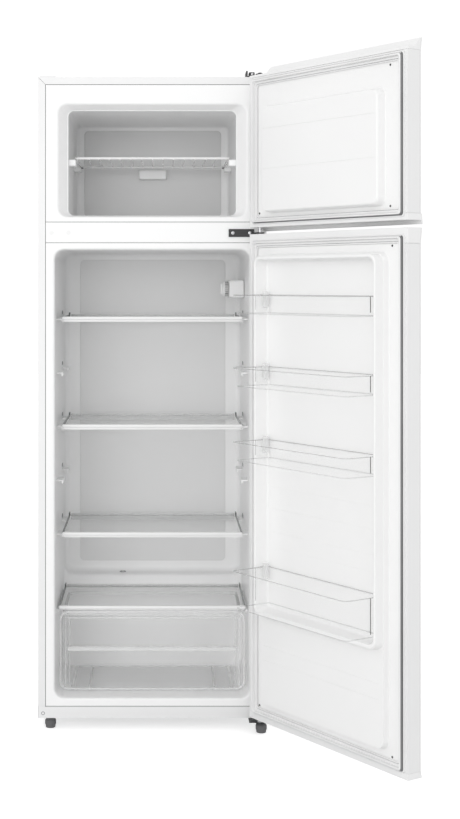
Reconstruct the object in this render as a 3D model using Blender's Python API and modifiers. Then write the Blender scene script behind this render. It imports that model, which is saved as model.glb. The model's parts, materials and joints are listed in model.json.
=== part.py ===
"""Top freezer refrigerator, two doors standing open, modelled in metres with +Z up.

Pieces are laid out round the middle of the cabinet: the cabinet front is the plane y = 0, the
inside lies behind it at +Y and z = 0 is the floor. A root empty then moves the whole object
along X, so that its origin is under the middle of the object with its doors open. Door parts
are laid out with the doors shut, under an empty on the hinge axis, and that empty is turned
to the open position.
"""

import math

import bmesh
import bpy
from mathutils import Matrix, Vector

# ---------------------------------------------------------------- driving dimensions (m)
CABINET_WIDTH = 0.550
CABINET_DEPTH = 0.488
CABINET_HEIGHT = 1.543  # steel body, without the feet
FLOOR_CLEARANCE = 0.030

GAP = 0.0003  # between pieces that touch
SHEET = 0.001  # cabinet and door steel
LINER_WALL = 0.002
FLANGE_WIDTH = 0.018  # steel return round the cabinet front
RAIL_HEIGHT = 0.0285
COIL_SPACE = 0.0065  # channel for the condenser tube behind the cabinet skin

FREEZER_WALL = 0.0708  # outer skin to freezer throat, at the sides
FREEZER_CEILING = 0.078  # outer top to freezer ceiling
FREEZER_THROAT_HEIGHT = 0.255
FREEZER_LIP = 0.0228  # how far the freezer mouth flares, each side
FREEZER_LIP_DEPTH = 0.030
FREEZER_MOUTH_RADIUS = 0.016
CAVITY_DEPTH = 0.400
MULLION_HEIGHT = 0.0500
FREEZER_FLANGE = 0.0125  # liner face between the freezer mouth and the mullion strip

FRIDGE_WALL = 0.0405
FRIDGE_LIP = 0.003
FRIDGE_LIP_DEPTH = 0.010
FRIDGE_FLANGE_TOP = 0.014
FRIDGE_FLANGE_BOTTOM = 0.017
FRIDGE_MOUTH_RADIUS = 0.024
HUMP_FRONT = 0.310  # front of the step over the compressor
HUMP_SHOULDER = 0.215
HUMP_RISE = 0.3075
HUMP_TOP_FRONT = 0.355
NICHE_FOAM = 0.026

SHELF_FROM_CEILING = 0.1635
LOWEST_SHELF_RISE = 0.1785  # lowest shelf level above the crisper cover
SHELF_LEVELS = 5
SHELF_SETBACK = 0.058
SHELF_SIDE_GAP = 0.014
SHELF_DEPTH = 0.310
SHELF_GLASS = 0.004
TRIM_HEIGHT = 0.013
TRIM_DEPTH = 0.012
RIB_HEIGHT = 0.009

CRISPER_HEIGHT = 0.2085  # crisper cover above the fridge floor
COVER_SIDE_GAP = 0.006
COVER_OVER_HUMP = 0.016  # how far the crisper cover reaches over the step
DRAWER_WALL = 0.0025
DRAWER_FLOOR_GAP = 0.004
DRAWER_TOP_GAP = 0.003
DRAWER_REAR_GAP = 0.016

WIRE_SHELF_RISE = 0.139
WIRE_SHELF_SIDE_GAP = 0.0135
WIRE_SHELF_DEPTH = 0.290
WIRE = 0.003
WIRE_COUNT = 13

GASKET_SPACE = 0.011  # between a shut door and the cabinet front
DOOR_THICKNESS = 0.041
DOOR_CORNER = 0.008
DOOR_OPEN_DEGREES = 123.2
HINGE_INSET = 0.0173  # axis to the hinge side of the cabinet
HINGE_SHARE = 0.4463  # share of the door's thickness from its inner face to the axis
HINGE_SHEET = 0.003
HINGE_EYE = 0.0105
PIN_RADIUS = 0.004
PIN_CLEARANCE = 0.0005
PIN_DEPTH = 0.014
BOSS_RADIUS = 0.009
CAP_FLARE = 0.0035

FREEZER_DOOR_TOP_RISE = 0.019  # front lip above the cabinet top
TOP_CAP_HEIGHT = 0.026
HINGE_ARM_DROP = 0.0025  # mullion hinge arm below the middle of the mullion strip
DOOR_GAP_HIGH = 0.0115  # freezer door above the mullion hinge arm
DOOR_GAP_LOW = 0.0015  # fridge door below it
FRIDGE_DOOR_CLEARANCE = 0.010  # below the fridge door, down to the cabinet bottom
FRIDGE_TOP_CAP_HEIGHT = 0.033
BOTTOM_CAP_HEIGHT = 0.014
GRIP_LENGTH = 0.180
GRIP_DEPTH = 0.022
GRIP_HEIGHT = 0.020

DYKE_HEIGHT = 0.037
DYKE_GAP = 0.018  # dyke to the side of the fridge cavity
DYKE_WIDTH = 0.014
DYKE_DRAFT = 0.004
FRIDGE_PANEL_HEIGHT = 0.0145
PANEL_DRAFT = 0.002
FREEZER_PANEL_HEIGHT = 0.022
GASKET_WIDTH = 0.018
GASKET_MARGIN = 0.0085

BIN_CLEARANCE = 0.0015
BIN_FRONT = 0.098  # how far a bin reaches into the shut cabinet
BIN_HEIGHT = 0.045
TALL_BIN_HEIGHT = 0.088
BIN_WALL = 0.0025
BIN_RIM_SHARES = (0.1248, 0.2705, 0.4187)  # from the fridge door's top edge, in door heights
TALL_BIN_SHARE = 0.2471  # bottom of the tall bin above the door's bottom edge, in door heights

FOOT_RADIUS = 0.0135
LEFT_FOOT_INSET = 0.0283
LEFT_FOOT_SETBACK = 0.030
RIGHT_FOOT_INSET = 0.0136
RIGHT_FOOT_FORWARD = 0.013

COMPRESSOR_RADIUS = 0.058
COMPRESSOR_HEIGHT = 0.130
TUBE_RADIUS = 0.0025

# ---------------------------------------------------------------- sizes that follow
HALF = CABINET_WIDTH / 2
BOTTOM = FLOOR_CLEARANCE
TOP = BOTTOM + CABINET_HEIGHT
RAIL_TOP = BOTTOM + RAIL_HEIGHT
INNER_FLANGE = HALF - FLANGE_WIDTH

FREEZER_HALF = HALF - FREEZER_WALL
FREEZER_HIGH = TOP - FREEZER_CEILING
FREEZER_LOW = FREEZER_HIGH - FREEZER_THROAT_HEIGHT
MULLION_HIGH = FREEZER_LOW - FREEZER_FLANGE - 0.0035
MULLION_LOW = MULLION_HIGH - MULLION_HEIGHT

FRIDGE_HALF = HALF - FRIDGE_WALL
FRIDGE_HIGH = MULLION_LOW - FRIDGE_FLANGE_TOP - FRIDGE_LIP
FRIDGE_LOW = RAIL_TOP + FRIDGE_FLANGE_BOTTOM + FRIDGE_LIP
NICHE_FRONT = HUMP_FRONT + LINER_WALL + NICHE_FOAM
NICHE_TOP_FRONT = HUMP_TOP_FRONT + LINER_WALL + NICHE_FOAM
NICHE_SHOULDER = HUMP_SHOULDER - NICHE_FOAM / 2
NICHE_CEILING = HUMP_RISE - LINER_WALL - NICHE_FOAM

SHELF_HALF = FRIDGE_HALF - SHELF_SIDE_GAP
RIB_REACH = SHELF_SIDE_GAP + 0.002
COVER_TOP = FRIDGE_LOW + CRISPER_HEIGHT
SHELF_HIGHEST = FRIDGE_HIGH - SHELF_FROM_CEILING
SHELF_PITCH = (SHELF_HIGHEST - COVER_TOP - LOWEST_SHELF_RISE) / (SHELF_LEVELS - 1)
SHELF_TOPS = [SHELF_HIGHEST - SHELF_PITCH * n for n in range(SHELF_LEVELS)]
COVER_DEPTH = HUMP_FRONT + COVER_OVER_HUMP - SHELF_SETBACK
DRAWER_DEPTH = HUMP_FRONT - DRAWER_REAR_GAP - SHELF_SETBACK
COVER_HALF = FRIDGE_HALF - COVER_SIDE_GAP
WIRE_SHELF_Z = FREEZER_LOW + WIRE_SHELF_RISE

HINGE_X = HALF - HINGE_INSET
HINGE_Y = -GASKET_SPACE - DOOR_THICKNESS * HINGE_SHARE
DOOR_INNER = -GASKET_SPACE
DOOR_OUTER = DOOR_INNER - DOOR_THICKNESS
MULLION_MID = (MULLION_LOW + MULLION_HIGH) / 2
ARM_LOW = MULLION_MID - HINGE_ARM_DROP - HINGE_SHEET / 2
ARM_HIGH = ARM_LOW + HINGE_SHEET
FRIDGE_DOOR_LOW = BOTTOM + FRIDGE_DOOR_CLEARANCE
FRIDGE_DOOR_HIGH = ARM_LOW - DOOR_GAP_LOW
FREEZER_DOOR_LOW = ARM_HIGH + DOOR_GAP_HIGH
FREEZER_DOOR_HIGH = TOP - 0.001
TOP_CAP_LOW = TOP + FREEZER_DOOR_TOP_RISE - TOP_CAP_HEIGHT

# how far the open doors reach past the cabinet, and so how far the origin is from its middle
OPEN_ANGLE = math.radians(DOOR_OPEN_DEGREES)
DOOR_REACH = (HINGE_X - math.cos(OPEN_ANGLE) * (HALF + HINGE_X)
              - math.sin(OPEN_ANGLE) * (DOOR_OUTER - CAP_FLARE - HINGE_Y))
ORIGIN_X = round((DOOR_REACH - HALF) / 2, 3)

# the lowest point of the pin that hangs into each cap
PIN_TIPS = {
    "freezer_door_top_cap": TOP + GAP - PIN_DEPTH,
    "fridge_door_top_cap": ARM_LOW - PIN_DEPTH,
}


# ---------------------------------------------------------------- scene and materials
def clear_scene():
    for obj in list(bpy.data.objects):
        bpy.data.objects.remove(obj, do_unlink=True)
    for collection in list(bpy.data.collections):
        bpy.data.collections.remove(collection)


def new_collection(name):
    collection = bpy.data.collections.new(name)
    bpy.context.scene.collection.children.link(collection)
    return collection


def material(name, colour, roughness, metallic=0.0, transmission=0.0):
    made = bpy.data.materials.new(name)
    made.use_nodes = True
    shader = made.node_tree.nodes["Principled BSDF"]
    shader.inputs["Base Color"].default_value = (*colour, 1.0)
    shader.inputs["Roughness"].default_value = roughness
    shader.inputs["Metallic"].default_value = metallic
    shader.inputs["Transmission Weight"].default_value = transmission
    made.diffuse_color = (*colour, 1.0)
    return made


def body(name, at, parent=None):
    """An empty that carries the pieces of one moving body, with its origin on the joint."""
    empty = bpy.data.objects.new(name, None)
    empty.empty_display_size = 0.05
    empty["at"] = at
    PARTS.objects.link(empty)
    place(empty, at, parent)
    return empty


def place(obj, at, parent=None):
    """Puts the object's origin at a point given with every door shut."""
    carrier = parent or ROOT
    obj.location = Vector(at) - Vector(carrier["at"])
    obj.parent = carrier


def new_object(name, bm, look, at=(0, 0, 0), parent=None, helper=False, shell=False):
    """An open shell keeps its winding, because its wall grows away from its faces."""
    mesh = bpy.data.meshes.new(name)
    if not shell:
        bmesh.ops.recalc_face_normals(bm, faces=bm.faces)
    bm.to_mesh(mesh)
    bm.free()
    obj = bpy.data.objects.new(name, mesh)
    (CUTTERS if helper else PARTS).objects.link(obj)
    if helper:
        obj.hide_render = True
        obj.display_type = "WIRE"
    else:
        obj.data.materials.append(look)
    place(obj, at, parent)
    return obj


# ---------------------------------------------------------------- shapes
def add_box(bm, low, high):
    size = [high[i] - low[i] for i in range(3)]
    middle = [(high[i] + low[i]) / 2 for i in range(3)]
    matrix = Matrix.Translation(middle) @ Matrix.Diagonal((*size, 1.0))
    return bmesh.ops.create_cube(bm, size=1.0, matrix=matrix)["verts"]


def bevel_edges(bm, edges, radius, segments):
    bmesh.ops.bevel(
        bm, geom=list(edges), offset=radius, offset_type="OFFSET", segments=segments,
        profile=0.5, affect="EDGES", material=-1, clamp_overlap=True,
    )


def edges_along(bm, axis):
    """Edges that run along one axis."""
    found = []
    for edge in bm.edges:
        run = (edge.verts[1].co - edge.verts[0].co).normalized()
        if abs(run[axis]) > 0.999:
            found.append(edge)
    return found


def box(name, low, high, look, parent=None, round_axis=None, radius=0.0, segments=3, helper=False):
    """A box from corner to corner, with the edges along one axis rounded."""
    middle = [(high[i] + low[i]) / 2 for i in range(3)]
    bm = bmesh.new()
    add_box(bm, [low[i] - middle[i] for i in range(3)], [high[i] - middle[i] for i in range(3)])
    if round_axis is not None:
        bevel_edges(bm, edges_along(bm, round_axis), radius, segments)
    return new_object(name, bm, look, middle, parent, helper)


def boxes(name, corners, look, parent=None, helper=False):
    """Several boxes in one mesh, for a Boolean."""
    bm = bmesh.new()
    for low, high in corners:
        add_box(bm, low, high)
    return new_object(name, bm, look, (0, 0, 0), parent, helper)


def cylinder(name, start, radius, length, look, axis="Z", parent=None, sides=24, helper=False):
    """A cylinder from a start point along +axis, with its origin on its own axis."""
    bm = bmesh.new()
    bmesh.ops.create_cone(
        bm, cap_ends=True, segments=sides, radius1=radius, radius2=radius, depth=length,
        matrix=Matrix.Translation((0, 0, length / 2)),
    )
    turn = {"X": (math.pi / 2, "Y"), "Y": (-math.pi / 2, "X")}.get(axis)
    if turn:
        bmesh.ops.transform(bm, matrix=Matrix.Rotation(turn[0], 4, turn[1]), verts=bm.verts)
    obj = new_object(name, bm, look, start, parent, helper)
    smooth(obj)
    return obj


def turned(name, at, profile, look, steps=20, axis="Z", parent=None):
    """A solid of revolution: the profile is (radius, height) pairs, top to bottom."""
    bm = bmesh.new()
    verts = [bm.verts.new((r, 0, z)) for r, z in profile]
    for first, second in zip(verts, verts[1:]):
        bm.edges.new((first, second))
    mesh = bpy.data.meshes.new(name)
    bm.to_mesh(mesh)
    bm.free()
    obj = bpy.data.objects.new(name, mesh)
    PARTS.objects.link(obj)
    mesh.materials.append(look)
    screw = obj.modifiers.new("turn", "SCREW")
    screw.axis = "Z"
    screw.steps = steps
    screw.render_steps = steps
    screw.use_merge_vertices = True
    screw.merge_threshold = 0.00001
    screw.use_smooth_shade = True
    if axis == "-X":
        obj.rotation_euler = (0, -math.pi / 2, 0)
    place(obj, at, parent)
    return obj


def smooth(obj):
    obj.data.shade_smooth()
    obj.data.set_sharp_from_angle(angle=math.radians(35))


def arc(centre, radius, start, end, steps):
    """Points on an arc, both ends included, angles in degrees."""
    points = []
    for n in range(steps + 1):
        angle = math.radians(start + (end - start) * n / steps)
        points.append((centre[0] + radius * math.cos(angle), centre[1] + radius * math.sin(angle)))
    return points


def rounded_rectangle(low, high, radius, steps=3):
    """The outline of a rectangle with round corners, as (u, v) points."""
    (u0, v0), (u1, v1) = low, high
    points = arc((u1 - radius, v1 - radius), radius, 0, 90, steps)
    points += arc((u0 + radius, v1 - radius), radius, 90, 180, steps)
    points += arc((u0 + radius, v0 + radius), radius, 180, 270, steps)
    points += arc((u1 - radius, v0 + radius), radius, 270, 360, steps)
    return points


def front_ring(y, half, low, high, radius, centre=0.0):
    """A rounded rectangle facing the front, at depth y."""
    outline = rounded_rectangle((centre - half, low), (centre + half, high), radius)
    return [(x, y, z) for x, z in outline]


def plan_ring(z, x_low, x_high, y_low, y_high, radius):
    """A rounded rectangle lying level, at height z."""
    return [(x, y, z) for x, y in rounded_rectangle((x_low, y_low), (x_high, y_high), radius)]


def loft(rings, cap_first=False, cap_last=True, join_ends=False, flip=False):
    """A skin through rings of equal point count. Rings run anticlockwise as seen from the front."""
    bm = bmesh.new()
    if flip:
        rings = [ring[::-1] for ring in rings]
    loops = [[bm.verts.new(point) for point in ring] for ring in rings]
    pairs = list(zip(loops, loops[1:]))
    if join_ends:
        pairs.append((loops[-1], loops[0]))
    for first, second in pairs:
        count = len(first)
        for n in range(count):
            m = (n + 1) % count
            bm.faces.new((first[n], first[m], second[m], second[n]))
    if cap_first:
        bm.faces.new(loops[0][::-1])
    if cap_last and not join_ends:
        bm.faces.new(loops[-1])
    return bm


def solidify(obj, thickness, offset):
    wall = obj.modifiers.new("wall", "SOLIDIFY")
    wall.thickness = thickness
    wall.offset = offset
    wall.use_even_offset = True
    wall.use_quality_normals = True
    return wall


def boolean(obj, other, operation):
    cut = obj.modifiers.new(operation.lower(), "BOOLEAN")
    cut.operation = operation
    cut.object = other
    cut.solver = "EXACT"
    return cut


def bent_sheet(name, path, width, thickness, look, axis=0, parent=None, middle=0.0):
    """Sheet metal: a path in the plane across the axis, drawn out along the axis by the width.

    The path holds (y, z) points for axis 0 and (x, y) points for axis 2. It is the middle of
    the sheet.
    """
    bm = bmesh.new()
    rows = []
    for end in (middle - width / 2, middle + width / 2):
        if axis == 0:
            rows.append([bm.verts.new((end, a, b)) for a, b in path])
        else:
            rows.append([bm.verts.new((a, b, end)) for a, b in path])
    for n in range(len(path) - 1):
        bm.faces.new((rows[0][n], rows[0][n + 1], rows[1][n + 1], rows[1][n]))
    obj = new_object(name, bm, look, (0, 0, 0), parent)
    solidify(obj, thickness, 0.0)
    return obj


def tube(name, points, radius, look, resolution=1):
    """A round tube along a list of points."""
    curve = bpy.data.curves.new(name, "CURVE")
    curve.dimensions = "3D"
    curve.bevel_depth = radius
    curve.bevel_resolution = resolution
    curve.use_fill_caps = True
    spline = curve.splines.new("POLY")
    spline.points.add(len(points) - 1)
    for target, point in zip(spline.points, points):
        target.co = (*point, 1.0)
    obj = bpy.data.objects.new(name, curve)
    curve.materials.append(look)
    PARTS.objects.link(obj)
    place(obj, (0, 0, 0))
    return obj


def serpentine(low, high, rows, bend_steps=4):
    """A tube route in (u, v): level runs from u low to u high, climbing in v."""
    (u0, v0), (u1, v1) = low, high
    pitch = (v1 - v0) / (rows - 1)
    radius = pitch / 2
    points = []
    for row in range(rows):
        v = v0 + pitch * row
        forward = row % 2 == 0
        start, end = (u0, u1) if forward else (u1, u0)
        points += [(start, v), (end, v)]
        if row < rows - 1:
            turn = arc((end, v + radius), radius, -90, 90, bend_steps)
            if not forward:
                turn = [(2 * end - u, w) for u, w in turn]
            points += turn[1:-1]
    return points


# ---------------------------------------------------------------- cabinet
def space_rings(rings, slack):
    """Rings for cutting a space round a liner: the mouth is widened and drawn out to the front."""
    low = min(z for _, _, z in rings[0]) - slack
    high = max(z for _, _, z in rings[0]) + slack
    half = max(x for x, _, _ in rings[0]) + slack
    mouth = [front_ring(y, half, low, high, FRIDGE_MOUTH_RADIUS) for y in (-0.01, LINER_WALL)]
    return mouth + rings[1:]


def fridge_rings(grow=0.0):
    """The fridge cavity from its mouth to its back, pushed outwards by grow."""
    r = FRIDGE_MOUTH_RADIUS
    g = grow
    low, high, half = FRIDGE_LOW - g, FRIDGE_HIGH + g, FRIDGE_HALF + g
    lip = FRIDGE_LIP
    deep = CAVITY_DEPTH + g
    return [
        front_ring(0.0, half + lip, low - lip, high + lip, r + lip),
        front_ring(FRIDGE_LIP_DEPTH, half, low, high, r),
        front_ring(HUMP_FRONT - 0.001 + g, half, low, high, r),
        front_ring(HUMP_FRONT + 0.001 + g, half, HUMP_SHOULDER - g, high, r),
        front_ring(HUMP_TOP_FRONT + g * 0.5, half, HUMP_RISE - g, high, r),
        front_ring(deep, half, HUMP_RISE - g, high, r),
    ]


def freezer_rings(grow=0.0):
    r = FREEZER_MOUTH_RADIUS
    g = grow
    low, high, half = FREEZER_LOW - g, FREEZER_HIGH + g, FREEZER_HALF + g
    return [
        front_ring(0.0, half + FREEZER_LIP, low - 0.0035, high + 0.013, r + 0.006),
        front_ring(FREEZER_LIP_DEPTH, half, low, high, r),
        front_ring(CAVITY_DEPTH + g, half, low, high, r),
    ]


def liner(name, rings, low, high, look):
    """A vacuum-formed liner: its face flange, its mouth and its cavity."""
    flange = front_ring(0.0, INNER_FLANGE - GAP, low, high, 0.0005)
    obj = new_object(name, loft([flange, *rings]), look, shell=True)
    solidify(obj, LINER_WALL, -1.0)
    return obj


def build_liners():
    freezer = liner("freezer_liner", freezer_rings(), MULLION_HIGH + GAP,
                    TOP - FLANGE_WIDTH - GAP, LOOKS["liner"])
    reach = FREEZER_HALF - WIRE_SHELF_SIDE_GAP - 0.004
    top = WIRE_SHELF_Z - GAP
    ledges = []
    for side in (-1, 1):
        inner, outer = sorted((side * reach, side * (FREEZER_HALF + 0.001)))
        ledges.append(((inner, 0.050, top - 0.016), (outer, 0.100, top)))
        ledges.append(((inner, 0.290, top - 0.012), (outer, 0.340, top)))
    ledges.append(((-0.037, CAVITY_DEPTH - 0.020, top - 0.026), (0.037, CAVITY_DEPTH + 0.001, top)))
    boolean(freezer, boxes("freezer_ledges", ledges, None, helper=True), "UNION")

    fridge = liner("fridge_liner", fridge_rings(), RAIL_TOP + GAP, MULLION_LOW - GAP, LOOKS["liner"])
    ribs = []
    for level in SHELF_TOPS:
        high = level - SHELF_GLASS - GAP
        for side in (-1, 1):
            inner, outer = sorted((side * (FRIDGE_HALF - RIB_REACH), side * (FRIDGE_HALF + 0.001)))
            front = SHELF_SETBACK + TRIM_DEPTH + 0.004
            ribs.append(((inner, front, high - RIB_HEIGHT), (outer, front + 0.060, high)))
            ribs.append(((inner, 0.290, high - RIB_HEIGHT), (outer, 0.350, high)))
    ledge = COVER_TOP - 0.010 - GAP
    for side in (-1, 1):
        inner, outer = sorted((side * (COVER_HALF - 0.001), side * (FRIDGE_HALF + 0.001)))
        ribs.append(((inner, 0.075, ledge - 0.010), (outer, 0.300, ledge)))
    boolean(fridge, boxes("fridge_ribs", ribs, None, helper=True), "UNION")


def build_skin():
    """Folded steel top and sides, with a return round the front."""
    bm = bmesh.new()
    add_box(bm, (-HALF, 0, BOTTOM - FLANGE_WIDTH), (HALF, CABINET_DEPTH, TOP))
    front = [f for f in bm.faces if f.normal.y < -0.9]
    bmesh.ops.inset_individual(bm, faces=front, thickness=FLANGE_WIDTH, use_even_offset=True)
    gone = [f for f in bm.faces if f.normal.z < -0.9 or f.normal.y > 0.9 or f in front]
    bmesh.ops.delete(bm, geom=gone, context="FACES")
    everything = list(bm.verts) + list(bm.edges) + list(bm.faces)
    bmesh.ops.bisect_plane(
        bm, geom=everything, plane_co=(0, 0, BOTTOM), plane_no=(0, 0, -1), clear_outer=True,
    )
    mesh = bpy.data.meshes.new("outer_wrapper")
    bm.to_mesh(mesh)
    bm.free()
    wrapper = bpy.data.objects.new("outer_wrapper", mesh)
    mesh.materials.append(LOOKS["white_steel"])
    PARTS.objects.link(wrapper)
    place(wrapper, (0, 0, 0))
    solidify(wrapper, SHEET, -1.0)
    inner = HALF - SHEET
    rail_space = box("rail_space", (-inner, -0.01, BOTTOM - 0.01), (inner, 0.02, RAIL_TOP + GAP),
                     None, helper=True)
    boolean(wrapper, rail_space, "DIFFERENCE")

    fit = HALF - SHEET - GAP
    box("back_panel", (-fit, CABINET_DEPTH - SHEET, NICHE_CEILING + 0.002),
        (fit, CABINET_DEPTH, TOP - SHEET - GAP), LOOKS["white_steel"])
    rail = bent_sheet(
        "base_rail",
        [(0.014, RAIL_TOP - SHEET / 2), (SHEET / 2, RAIL_TOP - SHEET / 2),
         (SHEET / 2, BOTTOM + SHEET / 2), (0.052, BOTTOM + SHEET / 2)],
        2 * fit, SHEET, LOOKS["white_steel"])
    stem = cylinder("left_stem_hole", (-HALF + LEFT_FOOT_INSET, LEFT_FOOT_SETBACK, BOTTOM - 0.005),
                    PIN_RADIUS + PIN_CLEARANCE, 0.015, None, helper=True)
    boolean(rail, stem, "DIFFERENCE")
    floor = BOTTOM + 0.012
    bent_sheet(
        "bottom_panel",
        [(0.004, floor), (NICHE_FRONT, floor), (NICHE_FRONT, NICHE_SHOULDER),
         (NICHE_TOP_FRONT, NICHE_CEILING), (CABINET_DEPTH - 0.003, NICHE_CEILING)],
        2 * fit, SHEET, LOOKS["zinc_steel"])
    bent_sheet(
        "base_plate",
        [(NICHE_FRONT + 0.004, BOTTOM + 0.001), (CABINET_DEPTH - 0.003, BOTTOM + 0.001),
         (CABINET_DEPTH - 0.003, BOTTOM + 0.020)],
        2 * fit, 0.002, LOOKS["zinc_steel"])
    box("mullion_cover", (-INNER_FLANGE + GAP, 0, MULLION_LOW),
        (INNER_FLANGE - GAP, LINER_WALL, MULLION_HIGH), LOOKS["liner"])
    box("mullion_bar", (-INNER_FLANGE + 0.01, LINER_WALL + GAP, MULLION_LOW + 0.011),
        (INNER_FLANGE - 0.01, LINER_WALL + 0.005, MULLION_HIGH - 0.011), LOOKS["zinc_steel"])


def build_foam():
    side = HALF - SHEET - COIL_SPACE
    floor = BOTTOM + 0.0125 + GAP
    front = LINER_WALL + 0.0005
    foam = box("cabinet_foam", (-side, front, floor),
               (side, CABINET_DEPTH - SHEET - GAP, TOP - SHEET - COIL_SPACE), LOOKS["foam"])
    grow = LINER_WALL + 0.0012
    for name, rings in (
        ("freezer_space", space_rings(freezer_rings(grow), 0.002)),
        ("fridge_space", space_rings(fridge_rings(grow), 0.001)),
    ):
        cutter = new_object(name, loft(rings, cap_first=True), None, helper=True)
        boolean(foam, cutter, "DIFFERENCE")
    slack = SHEET + GAP
    profile = [
        (NICHE_FRONT - slack, BOTTOM), (NICHE_FRONT - slack, NICHE_SHOULDER + slack * 0.5),
        (NICHE_TOP_FRONT - slack, NICHE_CEILING + slack), (CABINET_DEPTH + 0.01, NICHE_CEILING + slack),
        (CABINET_DEPTH + 0.01, BOTTOM),
    ]
    ends = [[(x, y, z) for y, z in profile] for x in (-HALF - 0.01, HALF + 0.01)]
    niche = new_object("niche_space", loft(ends, cap_first=True), None, helper=True)
    boolean(foam, niche, "DIFFERENCE")
    pockets = [
        ((-0.19, CAVITY_DEPTH - 0.02, HUMP_RISE + 0.02), (0.19, CAVITY_DEPTH + 0.0125, FREEZER_HIGH - 0.01)),
        ((-INNER_FLANGE, -0.01, MULLION_LOW + 0.009), (INNER_FLANGE, LINER_WALL + 0.006, MULLION_HIGH - 0.009)),
        ((-HALF, -0.01, BOTTOM), (HALF, 0.015, RAIL_TOP + GAP)),
    ]
    boolean(foam, boxes("foam_pockets", pockets, None, helper=True), "DIFFERENCE")


def hinge_bracket(name, plates, eye_low, holes, look):
    """A bracket of flat plates that ends in a round eye on the hinge axis, with drilled holes."""
    low, high = plates[0]
    bracket = box(name, low, high, look)
    if len(plates) > 1:
        for n, (low, high) in enumerate(plates[1:]):
            boolean(bracket, box(f"{name}_plate_{n}", low, high, None, helper=True), "UNION")
    eye = cylinder(f"{name}_eye", (HINGE_X, HINGE_Y, eye_low), HINGE_EYE, HINGE_SHEET, None,
                   helper=True, sides=20)
    boolean(bracket, eye, "UNION")
    for n, (x, y, radius) in enumerate(holes):
        drill = cylinder(f"{name}_hole_{n}", (x, y, eye_low - 0.01), radius, 0.025, None,
                         helper=True, sides=20)
        boolean(bracket, drill, "DIFFERENCE")
    return bracket


def build_hinges():
    black = LOOKS["black_steel"]
    steel = LOOKS["bright_steel"]
    bore = PIN_RADIUS + GAP
    overlap = 0.0005
    base = TOP + GAP
    hinge_bracket(
        "top_hinge_bracket",
        [((HINGE_X - 0.031, 0.006, base), (HALF - 0.004, 0.075, base + HINGE_SHEET)),
         ((HINGE_X - HINGE_EYE, HINGE_Y, base), (HINGE_X + HINGE_EYE, 0.006 + overlap, base + HINGE_SHEET)),
         ((HINGE_X - 0.031, 0.004, base), (HINGE_X - 0.031 + HINGE_SHEET, 0.060, base + 0.015))],
        base, [(HINGE_X, HINGE_Y, bore)], black)
    turned("top_hinge_pin", (HINGE_X, HINGE_Y, base),
           [(0, 0.014), (0.0065, 0.014), (0.0065, HINGE_SHEET + GAP), (PIN_RADIUS, HINGE_SHEET + GAP),
            (PIN_RADIUS, -PIN_DEPTH), (0, -PIN_DEPTH)], steel)

    plate_low, plate_high = ARM_LOW - 0.007, ARM_LOW + 0.012
    screw_z = (plate_low + plate_high) / 2
    plate_left = HINGE_X - 0.0737
    bracket = hinge_bracket(
        "middle_hinge_bracket",
        [((plate_left, -GAP - HINGE_SHEET, plate_low), (HINGE_X - 0.0127, -GAP, plate_high)),
         ((HINGE_X - 0.0165, HINGE_Y, ARM_LOW), (HINGE_X + HINGE_EYE, -GAP - HINGE_SHEET + overlap, ARM_HIGH))],
        ARM_LOW, [(HINGE_X, HINGE_Y, bore)], black)
    for n, x in enumerate((plate_left + 0.010, plate_left + 0.051)):
        drill = cylinder(f"screw_hole_{n}", (x, -0.012, screw_z), 0.0026, 0.02, None,
                         axis="Y", helper=True, sides=16)
        boolean(bracket, drill, "DIFFERENCE")
        screw = turned(f"middle_hinge_screw_{n + 1}", (x, -GAP - HINGE_SHEET - GAP, screw_z),
                       [(0, 0.0022), (0.0030, 0.0020), (0.0042, 0.0), (0.0023, 0.0), (0.0023, -0.0030), (0, -0.0030)],
                       steel, steps=16)
        screw.rotation_euler = (math.pi / 2, 0, 0)
    turned("middle_hinge_pin", (HINGE_X, HINGE_Y, ARM_LOW),
           [(0, HINGE_SHEET + DOOR_GAP_HIGH + PIN_DEPTH), (PIN_RADIUS, HINGE_SHEET + DOOR_GAP_HIGH + PIN_DEPTH),
            (PIN_RADIUS, -PIN_DEPTH), (0, -PIN_DEPTH)], steel)

    low = BOTTOM - GAP - HINGE_SHEET
    foot = (HALF - RIGHT_FOOT_INSET, -RIGHT_FOOT_FORWARD)
    hinge_bracket(
        "bottom_hinge_bracket",
        [((HINGE_X - 0.026, HINGE_Y, low), (HALF - 0.0015, 0.055, low + HINGE_SHEET))],
        low, [(HINGE_X, HINGE_Y, bore), (foot[0], foot[1], PIN_RADIUS + PIN_CLEARANCE)], black)
    reach = FRIDGE_DOOR_CLEARANCE + PIN_DEPTH
    collar = FRIDGE_DOOR_CLEARANCE - 0.001
    turned("bottom_hinge_pin", (HINGE_X, HINGE_Y, BOTTOM - GAP),
           [(0, reach), (PIN_RADIUS, reach), (PIN_RADIUS, collar), (0.0075, collar), (0.0075, GAP),
            (PIN_RADIUS, GAP), (PIN_RADIUS, -HINGE_SHEET), (0, -HINGE_SHEET)], steel)


def build_feet():
    """Two levelling feet at the front and two fixed pads at the back."""
    places = {
        "front_foot_left": (-HALF + LEFT_FOOT_INSET, LEFT_FOOT_SETBACK, BOTTOM - GAP),
        "front_foot_right": (HALF - RIGHT_FOOT_INSET, -RIGHT_FOOT_FORWARD, BOTTOM - 2 * GAP - HINGE_SHEET),
    }
    for name, (x, y, seat) in places.items():
        r = FOOT_RADIUS
        turned(name, (x, y, 0),
               [(0, seat + 0.009), (PIN_RADIUS, seat + 0.009), (PIN_RADIUS, seat), (0.010, seat),
                (0.011, 0.011), (r, 0.007), (r, 0.001), (r - 0.001, 0), (0, 0)],
               LOOKS["grey_plastic"], steps=20)
    for name, side in (("rear_foot_left", -1), ("rear_foot_right", 1)):
        cylinder(name, (side * (HALF - 0.040), CABINET_DEPTH - 0.035, 0), 0.015, BOTTOM - GAP,
                 LOOKS["grey_plastic"], sides=20)


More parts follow.
